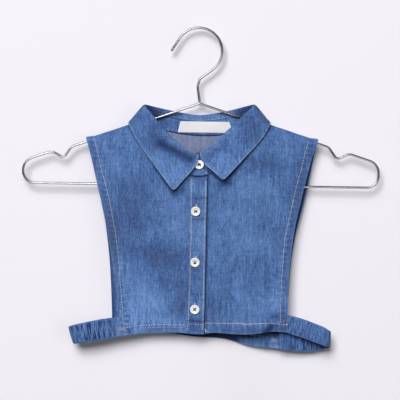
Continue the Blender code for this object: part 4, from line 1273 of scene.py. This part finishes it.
def gathered_strap(name, node, rows_of_strap, seed):
    """A strap as a hollow tube of gathered cloth along the middle line that its rows give."""
    path = np.array([(row.x, row.y, row.z) for row in rows_of_strap])
    at = lengths_along(path)
    rows = int(at[-1] / STRAP_ROW)
    places = np.linspace(0, at[-1], rows)
    line = np.stack([hermite(at, path[:, axis], places) for axis in range(3)], axis=1)
    lean, width, depth = (
        hermite(at, [getattr(row, field) for row in rows_of_strap], places)
        for field in ("lean", "width", "depth")
    )
    lean = np.radians(lean)
    ways = np.gradient(line, axis=0)
    out = np.stack([ways[:, 1], -ways[:, 0], np.zeros(rows)], axis=1)
    out /= np.linalg.norm(out, axis=1)[:, None]
    down = np.stack([np.sin(lean), np.zeros(rows), -np.cos(lean)], axis=1)
    if path[0, 0] < 0:
        out = -out
    # Round the tube outside, and back round it inside: down its outer face and up its inner one.
    shares = np.linspace(-1, 1, STRAP_ACROSS)
    around = [(share, 1) for share in shares] + [(share, -1) for share in shares[::-1]]
    rings = []
    heights = []
    for inside in (1.0, STRAP_HOLLOW):
        ring = []
        for share, face in around:
            folded = math.sqrt(max(0.0, 1 - abs(share) ** STRAP_EDGE_ROUND))
            ridge = gathers(places, np.full(rows, share), face < 0, seed)
            free = 1 - soft(abs(share), STRAP_HEADER, 1.0)
            ridge = GATHER_AT_EDGE + (ridge - GATHER_AT_EDGE) * free
            stand = (STRAP_HALF_WALL + depth * (ridge - GATHER_LEVEL)) * folded * face * inside
            scallop = 1 + STRAP_SCALLOP * (ridge - 0.5) * depth / STRAP_SCALLOP_DEPTH
            spread = 0.5 * width * share * scallop
            spread -= math.copysign(STRAP_EDGE_WALL, share) * (inside < 1)
            ring.append(line + out * stand[:, None] + down * spread[:, None])
            heights.append(ridge)
        rings.append(np.stack(ring, axis=1))
    count = len(around)
    points = np.concatenate(rings).reshape(-1, 3)
    inner = rows * count
    last = inner - count
    faces = tube(0, rows, count) + [(b, a, d, c) for a, b, c, d in tube(inner, rows, count)]
    for k in range(count):
        on = (k + 1) % count
        faces.append((on, k, inner + k, inner + on))
        faces.append((last + k, last + on, inner + last + on, inner + last + k))
    piece = made_of(name, points, faces)
    ridge = np.concatenate([np.stack(heights[:count], axis=1), np.stack(heights[count:], axis=1)])
    ridge = ridge.ravel()
    deep = np.tile(np.repeat(depth, count), 2) / STRAP_FULL_DEPTH
    painted(piece, "clouds", (ridge - PALE_FROM) * PALE_RISE * deep - STRAP_DARKER)
    painted(piece, "worn", np.clip((ridge - WORN_FROM) * WORN_RISE * deep, 0, 1))
    painted_shade = (SHADE_FROM - ridge) * SHADE_RISE * deep
    painted(piece, "painted_shade", np.clip(painted_shade, 0, SHADE_MOST))
    opened(piece)
    end_of_edit(2e-5)
    bpy.ops.object.shade_smooth_by_angle(angle=math.radians(80))
    piece.data.materials.append(chambray_face)
    stands_for(piece, node)
    return piece


right_strap = gathered_strap("right_strap_tube", "strap_right", RIGHT_STRAP, 3)
left_strap = gathered_strap("left_strap_tube", "strap_left", LEFT_STRAP, 5)

# ----------------------------------------
# The setting: a pale painted wall close behind the hanger and a pale floor, not part of the object.
# The wall is seen only from its front, so the object's back stays in view, and it shades nothing.

WALL_PAINT = (0.85, 0.82, 0.87)
FLOOR_PAINT = (0.86, 0.84, 0.87)
WALL_SIZE = 3.4
WALL_CUTS = 100
WALL_AT_COLLAR = 0.0148
WALL_LEAN = 0.0190
WALL_CLOSER = 0.0300
WALL_CLOSE_DEPTH = 0.25
WALL_CLOSE_LEFT = (-0.092, -0.036)
WALL_CLOSE_RIGHT = (0.036, 0.085)
COLLAR_LEVEL = -0.112
FLOOR_SIZE = 6.0
FLOOR_LEVEL = -1.25


def painted_plane(name, size, place, turn, colour):
    """A wall or floor in matt paint that is a little uneven."""
    bpy.ops.object.select_all(action="DESELECT")
    bpy.ops.mesh.primitive_plane_add(size=size, location=place, rotation=turn)
    plane = bpy.context.object
    plane.name = name
    bpy.ops.object.transform_apply(location=True, rotation=True, scale=True)
    material, shader = shader_of(name + "_paint", colour, 0.9)
    tinted(material, shader, noise_of(material, (2.2, 2.2, 2.2)), colour, 0.985)
    plane.data.materials.append(material)
    return plane, material, shader


wall, wall_paint, wall_shader = painted_plane(
    "wall", WALL_SIZE, (0, WALL_AT_COLLAR, COLLAR_LEVEL),
    (math.pi / 2 + math.atan(WALL_LEAN), 0, 0), WALL_PAINT
)
# The wall comes closer again behind the middle of the hem, which lies against it.
bpy.ops.object.mode_set(mode="EDIT")
bpy.ops.mesh.subdivide(number_cuts=WALL_CUTS)
bpy.ops.object.mode_set(mode="OBJECT")
only(wall)
bpy.ops.object.shade_smooth()
wall_points = points_of(wall)
below = np.clip(COLLAR_LEVEL - wall_points[:, 2], 0, WALL_CLOSE_DEPTH)
behind_hem = soft(wall_points[:, 0], *WALL_CLOSE_LEFT)
behind_hem *= 1 - soft(wall_points[:, 0], *WALL_CLOSE_RIGHT)
moved(wall, WALL_CLOSER * below * behind_hem)
wall.visible_shadow = False
wall.visible_diffuse = False
one_sided = add(wall_paint, "ShaderNodeMixShader")
from_behind = add(wall_paint, "ShaderNodeNewGeometry").outputs["Backfacing"]
feed(wall_paint, one_sided.inputs[0], from_behind)
feed(wall_paint, one_sided.inputs[1], wall_shader.outputs[0])
feed(wall_paint, one_sided.inputs[2], add(wall_paint, "ShaderNodeBsdfTransparent").outputs[0])
surface = wall_paint.node_tree.nodes["Material Output"].inputs["Surface"]
feed(wall_paint, surface, one_sided.outputs[0])
floor, _, _ = painted_plane("floor", FLOOR_SIZE, (0, 0, FLOOR_LEVEL), (0, 0, 0), FLOOR_PAINT)
floor.visible_diffuse = False

# ----------------------------------------
# Light: two large soft boxes high at the front left, of which the smaller alone glosses the wire, a
# weak one at the right, one behind the back, one low in front for the wire's gloss alone, and a
# pale room.

ROOM_LIGHT = (0.93, 0.95, 1.0)
ROOM_STRENGTH = 0.06
SoftBox = namedtuple("SoftBox", "place aim width power")
SOFT_BOXES = {
    "key": SoftBox((-1.45, -6.20, 2.60), (0, 0, -0.2), 3.0, 356),
    "large": SoftBox((-1.20, -5.80, 3.10), (0, 0, -0.2), 4.5, 190),
    "fill": SoftBox((3.6, -4.4, -0.6), (0, 0, -0.2), 2.6, 32),
    "rear": SoftBox((-0.8, 2.2, 0.9), (0, 0, -0.2), 1.2, 34),
    "low": SoftBox((0.1, -1.3, -1.15), (0, 0, -0.1), 1.2, 12),
}

lamps = {}
for name, box in SOFT_BOXES.items():
    lamp_data = bpy.data.lights.new(name, "AREA")
    lamp_data.shape = "SQUARE"
    lamp_data.size = box.width
    lamp_data.energy = box.power
    lamp = placed(name, lamp_data)
    lamp.location = box.place
    towards = Vector(box.aim) - Vector(box.place)
    lamp.rotation_euler = towards.to_track_quat("-Z", "Y").to_euler()
    lamp.visible_camera = False
    lamps[name] = lamp
lamps["large"].visible_glossy = False
lamps["low"].visible_diffuse = False
room = bpy.data.worlds.new("room")
bpy.context.scene.world = room
room.use_nodes = True
room.node_tree.nodes["Background"].inputs["Color"].default_value = (*ROOM_LIGHT, 1)
room.node_tree.nodes["Background"].inputs["Strength"].default_value = ROOM_STRENGTH
bpy.context.scene.view_settings.view_transform = "Standard"

# ----------------------------------------
# Camera: straight on at the height of the chest and 1.8 m away, rolled by what the hanger tilts.
# It takes in 0.46 m each way at the depth of the hook.

PICTURE_PIXELS = 400
METRES_PER_PIXEL = 0.00115
CAMERA_DISTANCE = 1.8
CAMERA_ACROSS = 0.00368
CAMERA_LEVEL = -0.19654
CAMERA_ROLL = math.radians(-0.85)
SENSOR = 36.0

camera_data = bpy.data.cameras.new("camera")
camera_data.sensor_width = SENSOR
camera_data.lens = SENSOR * CAMERA_DISTANCE / (PICTURE_PIXELS * METRES_PER_PIXEL)
camera = placed("camera", camera_data)
camera.location = (CAMERA_ACROSS, -CAMERA_DISTANCE, CAMERA_LEVEL)
camera.rotation_euler = (math.radians(90), CAMERA_ROLL, 0)
bpy.context.scene.camera = camera
